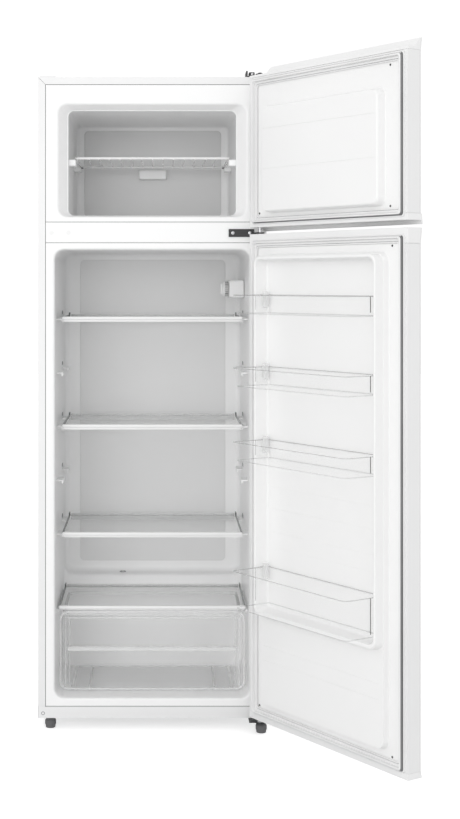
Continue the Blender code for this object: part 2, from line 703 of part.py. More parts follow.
def build_cooling():
    seat = BOTTOM + 0.002 + GAP
    y = (NICHE_FRONT + CABINET_DEPTH) / 2
    r, h = COMPRESSOR_RADIUS, COMPRESSOR_HEIGHT
    compressor = turned(
        "compressor", (0, y, seat + 0.012),
        [(0, h), *[(r * math.sin(math.radians(a)), h - 0.03 * (1 - math.cos(math.radians(a))))
                   for a in (30, 55, 75)],
         (r, h - 0.030), (r, 0.062), (r + 0.003, 0.062), (r + 0.003, 0.056), (r, 0.056), (r, 0.012),
         (r - 0.012, 0), (0, 0)],
        LOOKS["black_steel"], steps=28)
    legs = [((-0.085, y - 0.050, seat + 0.010), (0.085, y + 0.050, seat + 0.0135))]
    boolean(compressor, boxes("compressor_plate", legs, None, helper=True), "UNION")
    pads = bmesh.new()
    for px in (-0.070, 0.070):
        for py in (-0.038, 0.038):
            bmesh.ops.create_cone(
                pads, cap_ends=True, segments=12, radius1=0.010, radius2=0.008, depth=0.011,
                matrix=Matrix.Translation((px, y + py, seat + 0.0055)))
    boolean(compressor, new_object("compressor_pads", pads, None, helper=True), "UNION")
    box("compressor_terminal_cover", (r + 0.004, y - 0.022, seat + 0.045),
        (r + 0.030, y + 0.022, seat + 0.100), LOOKS["black_plastic"], round_axis=0, radius=0.005)
    low = seat + 0.012 + h + 0.004
    tray = box("drip_tray", (-0.080, NICHE_FRONT + 0.014, low), (0.080, CABINET_DEPTH - 0.012, low + 0.026),
               LOOKS["black_plastic"], round_axis=2, radius=0.010)
    well = box("tray_well", (-0.078, NICHE_FRONT + 0.016, low + 0.002),
               (0.078, CABINET_DEPTH - 0.014, low + 0.05), None, round_axis=2, radius=0.008, helper=True)
    boolean(tray, well, "DIFFERENCE")
    turned("filter_drier", (-0.150, y, seat + 0.05),
           [(0, 0.110), (0.003, 0.110), (0.004, 0.098), (0.010, 0.090), (0.010, 0.020), (0.004, 0.012),
            (0.003, 0), (0, 0)], LOOKS["copper"], steps=16)
    gland = cylinder("cord_gland", (-0.200, y + 0.030, seat), 0.010, 0.014, LOOKS["black_plastic"], sides=20)
    boolean(gland, cylinder("gland_bore", (-0.200, y + 0.030, seat - 0.01), 0.0042, 0.04, None,
                            helper=True, sides=16), "DIFFERENCE")

    skin = HALF - SHEET - COIL_SPACE / 2
    roof = TOP - SHEET - COIL_SPACE / 2
    low_run, high_run = NICHE_CEILING + 0.09, TOP - 0.13
    route = serpentine((0.095, low_run), (0.395, high_run), 8)
    left = [(-skin, u, v) for u, v in route]
    right = [(skin, u, v) for u, v in route]
    bend = 0.0045
    bridge = [(-skin, route[-1][0], roof - bend), (-skin + bend * 0.3, route[-1][0], roof - bend * 0.3),
              (-skin + bend, route[-1][0], roof)]
    across = bridge + [(-x, py, pz) for x, py, pz in bridge[::-1]]
    tube("condenser_coil", left + across + right[::-1], TUBE_RADIUS, LOOKS["copper"])
    plane = CAVITY_DEPTH + LINER_WALL + 0.0055
    upper = serpentine((-0.12, FREEZER_LOW + 0.03), (0.12, FREEZER_HIGH - 0.05), 4)
    lower = serpentine((-0.12, HUMP_RISE + 0.10), (0.12, FRIDGE_HIGH - 0.10), 8)
    tube("evaporator_coil", [(u, plane, v) for u, v in lower + upper], TUBE_RADIUS, LOOKS["copper"])


# ---------------------------------------------------------------- inside the fridge
def build_thermostat():
    wall = FRIDGE_HALF - GAP
    z = FRIDGE_HIGH - 0.095
    face = wall - 0.039
    box("thermostat_housing", (face, 0.210, z - 0.023), (wall, 0.330, z + 0.023), LOOKS["white_plastic"],
        round_axis=0, radius=0.006)
    box("lamp_lens", (face + 0.004, 0.330 + GAP, z - 0.020), (wall, 0.372, z + 0.020), LOOKS["lens"],
        round_axis=0, radius=0.006)
    dial = body("knob_axis", (face - GAP, 0.245, z))
    knob = turned("thermostat_knob", (face - GAP, 0.245, z),
                  [(0, 0.015), (0.017, 0.015), (0.019, 0.013), (0.019, 0.0), (0, 0.0)],
                  LOOKS["white_plastic"], steps=24, axis="-X", parent=dial)
    fin = box("knob_fin", (face - 0.0255, 0.2425, z - 0.012), (face - 0.010, 0.2475, z + 0.012), None,
              parent=dial, helper=True)
    boolean(knob, fin, "UNION")


def build_shelf(name, top, half, depth, height, parent):
    """A glass plate with a moulded strip along its front edge."""
    front = SHELF_SETBACK
    glass_front = front + 0.005
    box(f"{name}_glass", (-half, glass_front, top - SHELF_GLASS), (half, front + depth, top),
        LOOKS["glass"], parent=parent)
    trim = box(f"{name}_front_trim", (-half, front, top + 0.0015 - height),
               (half, front + TRIM_DEPTH, top + 0.0015), LOOKS["white_plastic"], parent=parent)
    groove = box(f"{name}_groove", (-half - 0.01, glass_front - GAP, top - SHELF_GLASS - GAP),
                 (half + 0.01, front + TRIM_DEPTH + 0.01, top + GAP), None, parent=parent, helper=True)
    boolean(trim, groove, "DIFFERENCE")


def build_shelves():
    for n, level in enumerate(SHELF_TOPS[::2]):
        shelf = body(f"shelf_{n + 1}_slide", (0, SHELF_SETBACK, level))
        build_shelf(f"shelf_{n + 1}", level, SHELF_HALF, SHELF_DEPTH, TRIM_HEIGHT, shelf)
    cover = body("crisper_cover_slide", (0, SHELF_SETBACK, COVER_TOP))
    top = COVER_TOP - 0.0015
    depth = COVER_DEPTH
    build_shelf("crisper_cover", top, COVER_HALF, depth, 0.010, cover)


def build_drawer():
    slide = body("crisper_drawer_slide", (0, SHELF_SETBACK, FRIDGE_LOW))
    half = COVER_HALF - 0.013
    low = FRIDGE_LOW + DRAWER_FLOOR_GAP
    high = COVER_TOP - 0.010 - DRAWER_TOP_GAP
    front, back = SHELF_SETBACK, SHELF_SETBACK + DRAWER_DEPTH
    taper = 0.012
    rings = [
        plan_ring(high, -half, half, front + 0.004, back, 0.012),
        plan_ring(low + 0.012, -half + taper, half - taper, front + 0.004, back - taper, 0.012),
        plan_ring(low, -half + taper + 0.012, half - taper - 0.012, front + 0.010, back - taper - 0.012, 0.012),
    ]
    drawer = new_object("crisper_drawer", loft(rings), LOOKS["clear_plastic"], parent=slide)
    solidify(drawer, DRAWER_WALL, -1.0)
    wide = COVER_HALF - 0.002
    plate_ring = [
        front_ring(front + depth, wide, low, high, 0.020) for depth in (0.0, 0.0065)
    ]
    plate = new_object("drawer_front", loft(plate_ring, cap_first=True), None, parent=slide, helper=True)
    boolean(drawer, plate, "UNION")


def build_wire_shelf():
    slide = body("wire_shelf_slide", (0, SHELF_SETBACK, WIRE_SHELF_Z))
    half = FREEZER_HALF - WIRE_SHELF_SIDE_GAP
    front, back = 0.066, 0.066 + WIRE_SHELF_DEPTH
    z = WIRE_SHELF_Z
    shelf = box("freezer_wire_shelf", (-half, front, z), (half, front + WIRE, z + 0.007),
                LOOKS["coated_wire"], parent=slide)
    pitch = (2 * half - WIRE) / (WIRE_COUNT - 1)
    wires = []
    for n in range(WIRE_COUNT):
        x = -half + pitch * n
        wires.append(((x, front + WIRE / 2, z + 0.0005), (x + WIRE, back - WIRE / 2, z + 0.0005 + WIRE)))
    boolean(shelf, boxes("shelf_wires", wires, None, parent=slide, helper=True), "UNION")
    rear = [((-half - 0.0005, back - WIRE, z + 0.0002), (half + 0.0005, back, z + 0.0055))]
    boolean(shelf, boxes("shelf_rear_bar", rear, None, parent=slide, helper=True), "UNION")


# ---------------------------------------------------------------- doors
def door_path():
    """The door skin in plan, from one inner return round the front to the other."""
    edge = SHEET / 2
    left, right = -HALF + edge, HALF - edge
    inner, outer = DOOR_INNER - edge, DOOR_OUTER + edge
    r = DOOR_CORNER
    path = [(right - 0.010, inner), (right, inner)]
    path += arc((right - r, outer + r), r, 0, -90, 4)
    path += arc((left + r, outer + r), r, -90, -180, 4)
    path += [(left, inner), (left + 0.010, inner)]
    return path


def end_cap(name, low, high, shape, look, parent, pin_from_above, grip, notch=False):
    """A moulded door end: its side shape is (y, z) points, drawn out over the door's width."""
    ends = [[(x, y, z) for y, z in shape] for x in (-HALF, HALF)]
    bm = loft(ends, cap_first=True)
    uprights = []
    for edge in bm.edges:
        a, b = edge.verts[0].co, edge.verts[1].co
        if abs(a.x - b.x) < 1e-6 and max(a.y, b.y) < DOOR_OUTER + 0.001:
            uprights.append(edge)
    bevel_edges(bm, uprights, DOOR_CORNER, 4)
    cap = new_object(name, bm, look, parent=parent)
    if pin_from_above:
        hole_low, hole_high = PIN_TIPS[name] - 0.002, high + 0.02
        if hole_low < low:
            boss = cylinder(f"{name}_boss", (HINGE_X, HINGE_Y, hole_low - 0.0015), BOSS_RADIUS,
                            low + 0.002 - hole_low, None, parent=parent, helper=True)
            boolean(cap, boss, "UNION")
    else:
        hole_low, hole_high = low - 0.02, low + PIN_DEPTH + 0.002
    hole = cylinder(f"{name}_pin_hole", (HINGE_X, HINGE_Y, hole_low), PIN_RADIUS + PIN_CLEARANCE,
                    hole_high - hole_low, None, parent=parent, helper=True, sides=20)
    boolean(cap, hole, "DIFFERENCE")
    if notch:
        clear = HINGE_EYE + 0.003
        space = box(f"{name}_hinge_space", (HINGE_X - clear - 0.006, DOOR_OUTER - 0.02, FREEZER_DOOR_HIGH),
                    (HALF + 0.01, 0.01, high + 0.03), None, parent=parent, helper=True)
        boolean(cap, space, "DIFFERENCE")
    if grip:
        left = -HALF + 0.030
        pull_low, pull_high = (high - GRIP_HEIGHT, high + 0.02) if grip > 0 else (low - 0.02, low + GRIP_HEIGHT)
        pull = box(f"{name}_pull", (left, DOOR_OUTER + 0.006, pull_low),
                   (left + GRIP_LENGTH, DOOR_OUTER + 0.006 + GRIP_DEPTH, pull_high), None,
                   parent=parent, round_axis=2, radius=0.006, helper=True)
        boolean(cap, pull, "DIFFERENCE")
    return cap


def door_liner(name, rings, low, high, look, parent, lugs=()):
    back = DOOR_INNER - SHEET - GAP
    outer = front_ring(back, HALF - 0.003, low, high, 0.0005)
    obj = new_object(name, loft([outer, *rings], flip=True), look, parent=parent, shell=True)
    solidify(obj, LINER_WALL, -1.0)
    if lugs:
        boolean(obj, boxes(f"{name}_lugs", lugs, None, parent=parent, helper=True), "UNION")
    return obj


def gasket(name, low, high, parent):
    """A magnetic seal: a closed ring between the door liner and the cabinet front."""
    left = -HALF + GASKET_MARGIN
    right = HALF - HINGE_INSET + 0.0028
    half, centre = (right - left) / 2, (right + left) / 2
    near, far = DOOR_INNER + GAP, -GAP
    w = GASKET_WIDTH
    rings = [
        front_ring(near, half, low, high, 0.012, centre),
        front_ring(far, half, low, high, 0.012, centre),
        front_ring(far, half - w, low + w, high - w, 0.004, centre),
        front_ring(near, half - w, low + w, high - w, 0.004, centre),
    ]
    new_object(name, loft(rings, cap_last=False, join_ends=True), LOOKS["gasket"], parent=parent)


def door_core(name, skin_low, skin_high, parent):
    """The folded steel front and the foam behind it."""
    bent_sheet(f"{name}_panel", door_path(), skin_high - skin_low, SHEET, LOOKS["white_steel"],
               axis=2, parent=parent, middle=(skin_low + skin_high) / 2)
    inset = SHEET + 0.001
    bm = bmesh.new()
    add_box(bm, (-HALF + inset, DOOR_OUTER + inset, skin_low),
            (HALF - inset, DOOR_INNER - SHEET - 2 * GAP - LINER_WALL, skin_high))
    corners = [e for e in edges_along(bm, 2) if e.verts[0].co.y < DOOR_OUTER + 0.01]
    bevel_edges(bm, corners, DOOR_CORNER, 3)
    foam = new_object(f"{name}_foam", bm, LOOKS["foam"], parent=parent)
    tip = PIN_TIPS[f"{name}_top_cap"] - 0.005
    if tip < skin_high:
        socket = cylinder(f"{name}_boss_space", (HINGE_X, HINGE_Y, tip), BOSS_RADIUS + GAP,
                          skin_high + 0.01 - tip, None, parent=parent, helper=True)
        boolean(foam, socket, "DIFFERENCE")


def build_freezer_door():
    door = body("freezer_door_hinge", (HINGE_X, HINGE_Y, 0))
    low, high = FREEZER_DOOR_LOW, FREEZER_DOOR_HIGH
    lip = TOP + FREEZER_DOOR_TOP_RISE
    front = DOOR_OUTER - CAP_FLARE
    skin_low, skin_high = low + BOTTOM_CAP_HEIGHT, TOP_CAP_LOW
    door_core("freezer_door", skin_low + GAP, skin_high - GAP, door)
    end_cap("freezer_door_top_cap", skin_high, lip,
            [(DOOR_INNER, skin_high), (DOOR_INNER, high), (DOOR_INNER - 0.018, high),
             (DOOR_OUTER + 0.006, lip), (front, lip), (DOOR_OUTER, skin_high)],
            LOOKS["white_plastic"], door, True, 0, notch=True)
    drop = low - 0.0085
    end_cap("freezer_door_bottom_cap", low, skin_low,
            [(DOOR_INNER, low), (DOOR_INNER, skin_low), (DOOR_OUTER, skin_low),
             (front, drop), (front + 0.003, drop), (front + 0.006, low)],
            LOOKS["white_plastic"], door, False, 0)
    mouth_low, mouth_high = FREEZER_LOW - 0.0035, FREEZER_HIGH + 0.013
    back = DOOR_INNER - SHEET - GAP
    half = FREEZER_HALF + FREEZER_LIP - 0.022
    rise = back + FREEZER_PANEL_HEIGHT
    rings = [
        front_ring(back, half, mouth_low + 0.005, mouth_high - 0.016, 0.016),
        front_ring(rise - 0.004, half - 0.003, mouth_low + 0.008, mouth_high - 0.019, 0.014),
        front_ring(rise, half - 0.008, mouth_low + 0.013, mouth_high - 0.024, 0.012),
    ]
    door_liner("freezer_door_liner", rings, skin_low + GAP, skin_high - GAP, LOOKS["liner"], door)
    gasket("freezer_door_gasket", low + 0.007, high - 0.009, door)
    door.rotation_euler = (0, 0, OPEN_ANGLE)


def bin_spans():
    """Each bin's (bottom, rim) heights, top bin first."""
    height = FRIDGE_DOOR_HIGH - FRIDGE_DOOR_LOW
    rims = [FRIDGE_DOOR_HIGH - height * share for share in BIN_RIM_SHARES]
    spans = [(rim - BIN_HEIGHT, rim) for rim in rims]
    low = FRIDGE_DOOR_LOW + height * TALL_BIN_SHARE
    return spans + [(low, low + TALL_BIN_HEIGHT)]


def build_fridge_door():
    door = body("fridge_door_hinge", (HINGE_X, HINGE_Y, 0))
    low, high = FRIDGE_DOOR_LOW, FRIDGE_DOOR_HIGH
    front = DOOR_OUTER - CAP_FLARE
    skin_low, skin_high = low + BOTTOM_CAP_HEIGHT, high - FRIDGE_TOP_CAP_HEIGHT
    door_core("fridge_door", skin_low + GAP, skin_high - GAP, door)
    end_cap("fridge_door_top_cap", skin_high, high,
            [(DOOR_INNER, skin_high), (DOOR_INNER, high), (front, high), (DOOR_OUTER, skin_high)],
            LOOKS["white_plastic"], door, True, 1)
    end_cap("fridge_door_bottom_cap", low, skin_low,
            [(DOOR_INNER, low), (DOOR_INNER, skin_low), (DOOR_OUTER, skin_low), (front, low)],
            LOOKS["white_plastic"], door, False, 0)

    back = DOOR_INNER - SHEET - GAP
    top = back + DYKE_HEIGHT
    half = FRIDGE_HALF - DYKE_GAP
    dyke_low, dyke_high = FRIDGE_LOW + 0.010, FRIDGE_HIGH - 0.014
    recess_half = half - DYKE_DRAFT - DYKE_WIDTH
    spans = bin_spans()
    recess_low = spans[-1][0] - 0.020
    panel = back + FRIDGE_PANEL_HEIGHT
    ledge = PANEL_DRAFT + 0.001
    bar_low = recess_low - DYKE_WIDTH - ledge
    rings = [
        front_ring(back, half, dyke_low, dyke_high, 0.022),
        front_ring(panel, half - PANEL_DRAFT, dyke_low + PANEL_DRAFT, dyke_high - PANEL_DRAFT, 0.021),
        front_ring(panel, half - ledge, bar_low, dyke_high - ledge, 0.020),
        front_ring(top, half - DYKE_DRAFT, bar_low + ledge, dyke_high - DYKE_DRAFT, 0.020),
        front_ring(top, recess_half, recess_low, dyke_high - DYKE_DRAFT - DYKE_WIDTH, 0.014),
        front_ring(back + 0.001, recess_half - 0.002, recess_low + 0.004,
                   dyke_high - 2 * DYKE_DRAFT - DYKE_WIDTH, 0.012),
    ]
    bin_half = recess_half - 0.002 - BIN_CLEARANCE
    lugs = []
    for bottom, _ in spans:
        for side in (-1, 1):
            inner, outer = sorted((side * (bin_half - 0.006), side * (recess_half + 0.001)))
            lugs.append(((inner, back + 0.010, bottom - GAP - 0.010), (outer, top - 0.006, bottom - GAP)))
    door_liner("fridge_door_liner", rings, skin_low + GAP, skin_high - GAP, LOOKS["liner"], door, lugs)
    gasket("fridge_door_gasket", low + 0.014, high - 0.014, door)

    rear = back + 0.004
    for n, (bottom, rim) in enumerate(spans):
        lift = body(f"door_bin_{n + 1}_lift", (0, 0, bottom), parent=door)
        lean = 0.006
        rings = [
            plan_ring(rim, -bin_half, bin_half, rear, BIN_FRONT, 0.012),
            plan_ring(bottom + 0.006, -bin_half + lean, bin_half - lean, rear, BIN_FRONT - lean, 0.012),
            plan_ring(bottom, -bin_half + lean + 0.006, bin_half - lean - 0.006, rear + 0.004,
                      BIN_FRONT - lean - 0.006, 0.008),
        ]
        tray = new_object(f"door_bin_{n + 1}", loft(rings), LOOKS["clear_plastic"], parent=lift)
        solidify(tray, BIN_WALL, -1.0)
    door.rotation_euler = (0, 0, OPEN_ANGLE)


clear_scene()
PARTS = new_collection("top_freezer_refrigerator")
CUTTERS = new_collection("cutters")
ROOT = bpy.data.objects.new("refrigerator", None)
ROOT.location = (-ORIGIN_X, 0, 0)
ROOT["at"] = (0.0, 0.0, 0.0)
PARTS.objects.link(ROOT)
LOOKS = {
    "white_steel": material("white_steel", (0.86, 0.86, 0.85), 0.32, 0.1),
    "zinc_steel": material("zinc_steel", (0.55, 0.56, 0.57), 0.45, 0.9),
    "black_steel": material("black_steel", (0.02, 0.02, 0.022), 0.45, 0.3),
    "bright_steel": material("bright_steel", (0.65, 0.65, 0.66), 0.3, 1.0),
    "white_plastic": material("white_plastic", (0.87, 0.87, 0.86), 0.35),
    "liner": material("liner", (0.86, 0.87, 0.87), 0.3),
    "foam": material("foam", (0.85, 0.76, 0.5), 0.9),
    "glass": material("glass", (0.9, 0.95, 0.93), 0.05, 0.0, 0.9),
    "clear_plastic": material("clear_plastic", (0.92, 0.94, 0.95), 0.08, 0.0, 0.85),
    "lens": material("lens", (0.93, 0.93, 0.9), 0.3, 0.0, 0.4),
    "coated_wire": material("coated_wire", (0.88, 0.88, 0.88), 0.35),
    "gasket": material("gasket", (0.8, 0.8, 0.8), 0.6),
    "grey_plastic": material("grey_plastic", (0.12, 0.12, 0.125), 0.55),
    "black_plastic": material("black_plastic", (0.03, 0.03, 0.03), 0.5),
    "copper": material("copper", (0.72, 0.38, 0.22), 0.3, 1.0),
}
build_skin()
build_liners()
build_foam()
build_hinges()
build_feet()
build_cooling()
build_thermostat()
build_shelves()
build_drawer()
build_wire_shelf()
build_freezer_door()
build_fridge_door()
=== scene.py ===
"""Looks of a two-door refrigerator with a freezer on top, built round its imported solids.

Everything is in metres in the frame of the solids. Door pieces are shaped in the place they
have with the doors shut, and are then turned to the open position of the solids.
"""

import json
import math

import bmesh
import bpy
from bpy.props import FloatProperty, FloatVectorProperty, IntProperty, PointerProperty
from mathutils import Matrix, Vector


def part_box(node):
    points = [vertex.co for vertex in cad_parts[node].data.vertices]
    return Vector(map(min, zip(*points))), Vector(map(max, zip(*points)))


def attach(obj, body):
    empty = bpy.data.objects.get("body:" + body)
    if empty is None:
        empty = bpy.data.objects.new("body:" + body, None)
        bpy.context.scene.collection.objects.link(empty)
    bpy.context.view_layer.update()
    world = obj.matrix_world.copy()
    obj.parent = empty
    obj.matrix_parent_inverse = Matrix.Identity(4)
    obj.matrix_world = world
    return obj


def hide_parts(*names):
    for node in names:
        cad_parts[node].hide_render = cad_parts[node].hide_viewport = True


bl_info = {
    "name": "Top freezer refrigerator looks",
    "version": (1, 0, 0),
    "blender": (4, 5, 0),
    "location": "3D View > Sidebar > Refrigerator",
    "description": "Finishes the visible pieces of a two-door refrigerator",
    "category": "Add Mesh",
}

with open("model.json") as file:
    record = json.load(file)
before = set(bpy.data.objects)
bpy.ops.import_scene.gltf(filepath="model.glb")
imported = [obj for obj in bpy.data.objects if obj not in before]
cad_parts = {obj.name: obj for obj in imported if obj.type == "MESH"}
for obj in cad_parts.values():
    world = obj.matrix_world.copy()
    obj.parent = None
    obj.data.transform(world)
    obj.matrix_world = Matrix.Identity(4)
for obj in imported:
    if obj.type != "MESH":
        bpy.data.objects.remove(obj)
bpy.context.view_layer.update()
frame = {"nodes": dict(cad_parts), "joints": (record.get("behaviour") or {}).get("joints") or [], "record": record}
NODES = frame["nodes"]
DOOR_JOINT = next(j for j in frame["joints"] if j["name"] == "fridge_door_hinge")
OPEN_ANGLE = -math.radians(DOOR_JOINT["range_deg"][0])
HINGE = Vector((DOOR_JOINT["pos_m"][0], DOOR_JOINT["pos_m"][1], 0))
DOORS = ("freezer_door", "fridge_door", "door_bin_1", "door_bin_2", "door_bin_3", "door_bin_4")
BODY_OF = {node: name for name, members in frame["record"]["behaviour"]["bodies"].items() for node in members}
SLOT_OF = {row["node"]: row["material_slot"] for row in frame["record"]["subparts"]}

CABINET_LOW, CABINET_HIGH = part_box("outer_wrapper")
MIDDLE = (CABINET_LOW.x + CABINET_HIGH.x) / 2
DOOR_FACE = -0.0123
FREEZER_HALF = 0.2042
FRIDGE_HALF = 0.2345
FREEZER_LIP = 0.030
CAVITY_DEPTH = 0.400
FREEZER_FLOOR, FREEZER_CEILING = 1.240, 1.495
FRIDGE_FLOOR, FRIDGE_CEILING = 0.0785, 1.157
SMOOTH_UP_TO = math.radians(32)
CAMERA_SHIFT = (0.0881, -0.1547)
LIGHT_PLACE, LIGHT_TARGET, LIGHT_SIZE = (MIDDLE - 1.2, -4.5, 1.5), (MIDDLE, 0, 0.8), 3.4
BACKDROP_SHOWN = 1.05
FLOOR_CAST, FLOOR_SHOWN = 0.06, 0.62
SHELF_TOPS = [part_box(f"shelf_{number}_glass")[1].z for number in (1, 2, 3)]
SHELF_LEVELS = [SHELF_TOPS[0] + (SHELF_TOPS[2] - SHELF_TOPS[0]) * step / 4 for step in range(5)]
TO_SHUT = Matrix.Translation(HINGE) @ Matrix.Rotation(-OPEN_ANGLE, 4, "Z") @ Matrix.Translation(-HINGE)


# ---------------------------------------------------------------- shaping helpers
def copy_of(node, shut=False):
    """A merged copy of a solid, with flat areas joined into single faces."""
    bm = bmesh.new()
    bm.from_mesh(NODES[node].data)
    bmesh.ops.remove_doubles(bm, verts=bm.verts, dist=2e-5)
    bmesh.ops.dissolve_limit(bm, angle_limit=math.radians(0.5), verts=bm.verts, edges=bm.edges)
    if shut:
        bmesh.ops.transform(bm, matrix=TO_SHUT, verts=bm.verts)
    return bm


def extent(bm):
    """The lowest and highest corner of a mesh being shaped."""
    low = Vector([min(v.co[i] for v in bm.verts) for i in range(3)])
    high = Vector([max(v.co[i] for v in bm.verts) for i in range(3)])
    return low, high


def shut_box(node):
    """The corners of a door solid with the door shut."""
    bm = copy_of(node, shut=True)
    corners = extent(bm)
    bm.free()
    return corners


def soften(bm, geom, offset, segments, affect="EDGES", clamp=False):
    """Rounds edges or corners by a width."""
    bmesh.ops.bevel(
        bm, geom=geom, offset=offset, offset_type="OFFSET", affect=affect, segments=segments,
        profile=0.5, material=-1, clamp_overlap=clamp,
    )


def ring(bm, low, high, radius, level, facing="Y", radius_low=None):
    """A rounded rectangle in a plane, from the low to the high corner of its two sizes.
    The two corners at the low side of the second size may have a radius of their own."""
    width, height = high[0] - low[0], high[1] - low[1]
    known = set(bm.faces)
    grid = bmesh.ops.create_grid(bm, x_segments=1, y_segments=1, size=0.5)["verts"]
    bmesh.ops.scale(bm, vec=(width, height, 1), verts=grid)
    corners = {
        radius: [v for v in grid if v.co.y > 0],
        radius if radius_low is None else radius_low: [v for v in grid if v.co.y < 0],
    }
    if radius_low is None:
        corners = {radius: grid}
    for reach, verts in corners.items():
        soften(bm, verts, min(reach, width * 0.499, height * 0.499), 8, "VERTICES")
    face = next(f for f in bm.faces if f not in known)
    x, y = (low[0] + high[0]) / 2, (low[1] + high[1]) / 2
    planes = {
        "Y": ((1, 0, 0, x), (0, 0, 1, level), (0, 1, 0, y), (0, 0, 0, 1)),
        "Z": ((1, 0, 0, x), (0, 1, 0, y), (0, 0, 1, level), (0, 0, 0, 1)),
    }
    bmesh.ops.transform(bm, matrix=Matrix(planes[facing]), verts=list(face.verts))
    return face


def loft(bm, faces, close_last=True, join_ends=False, fillets=(), materials=()):
    """Draws the first ring out through the others, in order, which all have as many corners.
    Fillets round the ring of that number, and materials are those of the bands between rings."""
    stops = [[v.co.copy() for v in face.verts] for face in faces]
    verts = list(faces[0].verts)
    start = list(verts)
    loops = [list(faces[0].edges)]
    bmesh.ops.delete(bm, geom=[v for face in faces[1:] for v in face.verts], context="VERTS")
    if join_ends:
        stops.append(stops[0])
        bmesh.ops.delete(bm, geom=[faces[0]], context="FACES_ONLY")
    for n, places in enumerate(stops[1:]):
        made = set(bmesh.ops.extrude_edge_only(bm, edges=loops[-1])["geom"])
        verts = [next(e.other_vert(v) for e in v.link_edges if e.other_vert(v) in made) for v in verts]
        for vert, place in zip(verts, places):
            vert.co = place
        known = set(verts)
        outline = [e for v in verts for e in v.link_edges if e.other_vert(v) in known]
        loops.append(list(dict.fromkeys(outline)))
        for face in {f for e in loops[-1] for f in e.link_faces}:
            face.material_index = materials[n] if n < len(materials) else 0
    if join_ends:
        bmesh.ops.remove_doubles(bm, verts=start + verts, dist=1e-7)
    elif close_last:
        bmesh.ops.contextual_create(bm, geom=loops[-1])
    for n, offset in enumerate(fillets):
        if offset:
            soften(bm, loops[n], offset, 4)


def formed(bm, rows, fillets=(), materials=(), **ends):
    """A lofted form of rounded rectangles facing the front, each with its half width, lowest and
    highest z, corner radius and depth, round the middle of the cabinet."""
    faces = [
        ring(bm, (MIDDLE - half, low), (MIDDLE + half, high), radius, depth)
        for half, low, high, radius, depth in rows]
    loft(bm, faces, fillets=fillets, materials=materials, **ends)


def add_box(bm, low, high, bevel=0.0, segments=3):
    """A box from corner to corner with rounded edges."""
    size = [high[i] - low[i] for i in range(3)]
    middle = [(high[i] + low[i]) / 2 for i in range(3)]
    part = bmesh.new()
    matrix = Matrix.Translation(middle) @ Matrix.Diagonal((*size, 1.0))
    bmesh.ops.create_cube(part, size=1.0, matrix=matrix)
    if bevel:
        soften(part, part.edges[:], min(bevel, min(size) * 0.49), segments)
    join(bm, part)


def side_box(bm, side, near, far, low, high, bevel=0.0, segments=3):
    """A box left (-1) or right (1) of the cabinet's middle, from near to far of it, with its
    lowest and highest (y, z)."""
    inner, outer = sorted((MIDDLE + side * near, MIDDLE + side * far))
    add_box(bm, (inner, *low), (outer, *high), bevel, segments)


def add_rod(bm, start, end, radius, sides=16, bevel=0.0):
    """A round bar between two points, with its rims rounded if asked."""
    start, end = Vector(start), Vector(end)
    run = end - start
    part = bmesh.new()
    turn = Vector((0, 0, 1)).rotation_difference(run).to_matrix().to_4x4()
    bmesh.ops.create_cone(
        part, cap_ends=True, segments=sides, radius1=radius, radius2=radius, depth=run.length,
        matrix=Matrix.Translation((start + end) / 2) @ turn,
    )
    if bevel:
        rims = [e for e in part.edges if any(len(f.verts) > 4 for f in e.link_faces)]
        soften(part, rims, bevel, 2)
    join(bm, part)


def join(bm, part):
    """Moves one mesh being shaped into another."""
    mesh = bpy.data.meshes.new("part")
    part.to_mesh(mesh)
    part.free()
    bm.from_mesh(mesh)
    bpy.data.meshes.remove(mesh)


def turned_profile(bm, profile, centre, axis="Z", steps=32):
    """A solid of revolution of (radius, height) points round an axis through the centre."""
    part = bmesh.new()
    verts = [part.verts.new((r, 0, h)) for r, h in profile]
    for first, second in zip(verts, verts[1:]):
        part.edges.new((first, second))
    bmesh.ops.spin(
        part, geom=part.verts[:] + part.edges[:], cent=(0, 0, 0), axis=(0, 0, 1),
        angle=math.tau, steps=steps, use_merge=True,
    )
    bmesh.ops.remove_doubles(part, verts=part.verts, dist=1e-6)
    turns = {
        "Z": Matrix.Identity(4),
        "-X": Matrix.Rotation(-math.pi / 2, 4, "Y"),
        "-Y": Matrix.Rotation(math.pi / 2, 4, "X"),
        "Y": Matrix.Rotation(-math.pi / 2, 4, "X"),
    }
    bmesh.ops.transform(part, matrix=Matrix.Translation(centre) @ turns[axis], verts=part.verts)
    bmesh.ops.recalc_face_normals(part, faces=part.faces)
    join(bm, part)


def wire(bm, points, radius, cyclic=False):
    """A round wire along straight runs with smooth bends, swept by a curve."""
    curve = bpy.data.curves.new("wire", "CURVE")
    curve.dimensions = "3D"
    curve.bevel_depth = radius
    curve.bevel_resolution = 2
    curve.use_fill_caps = not cyclic
    spline = curve.splines.new("POLY")
    spline.points.add(len(points) - 1)
    for point, co in zip(spline.points, points):
        point.co = (*co, 1)
    spline.use_cyclic_u = cyclic
    holder = bpy.data.objects.new("wire", curve)
    mesh = bpy.data.meshes.new_from_object(holder)
    bpy.data.objects.remove(holder)
    bm.from_mesh(mesh)
    bpy.data.meshes.remove(mesh)
    bpy.data.curves.remove(curve)


def bends(points, radius, cyclic=False):
    """Points of a polyline with each inner corner rounded."""
    path = []
    count, steps = len(points), 6
    for n, corner in enumerate(points):
        corner = Vector(corner)
        if not cyclic and n in (0, count - 1):
            path.append(corner)
            continue
        before = Vector(points[n - 1]) - corner
        after = Vector(points[(n + 1) % count]) - corner
        reach = min(radius, before.length * 0.49, after.length * 0.49)
        start = corner + before.normalized() * reach
        end = corner + after.normalized() * reach
        for step in range(steps + 1):
            t = step / steps
            path.append(start * (1 - t) ** 2 + corner * 2 * t * (1 - t) + end * t * t)
    return path


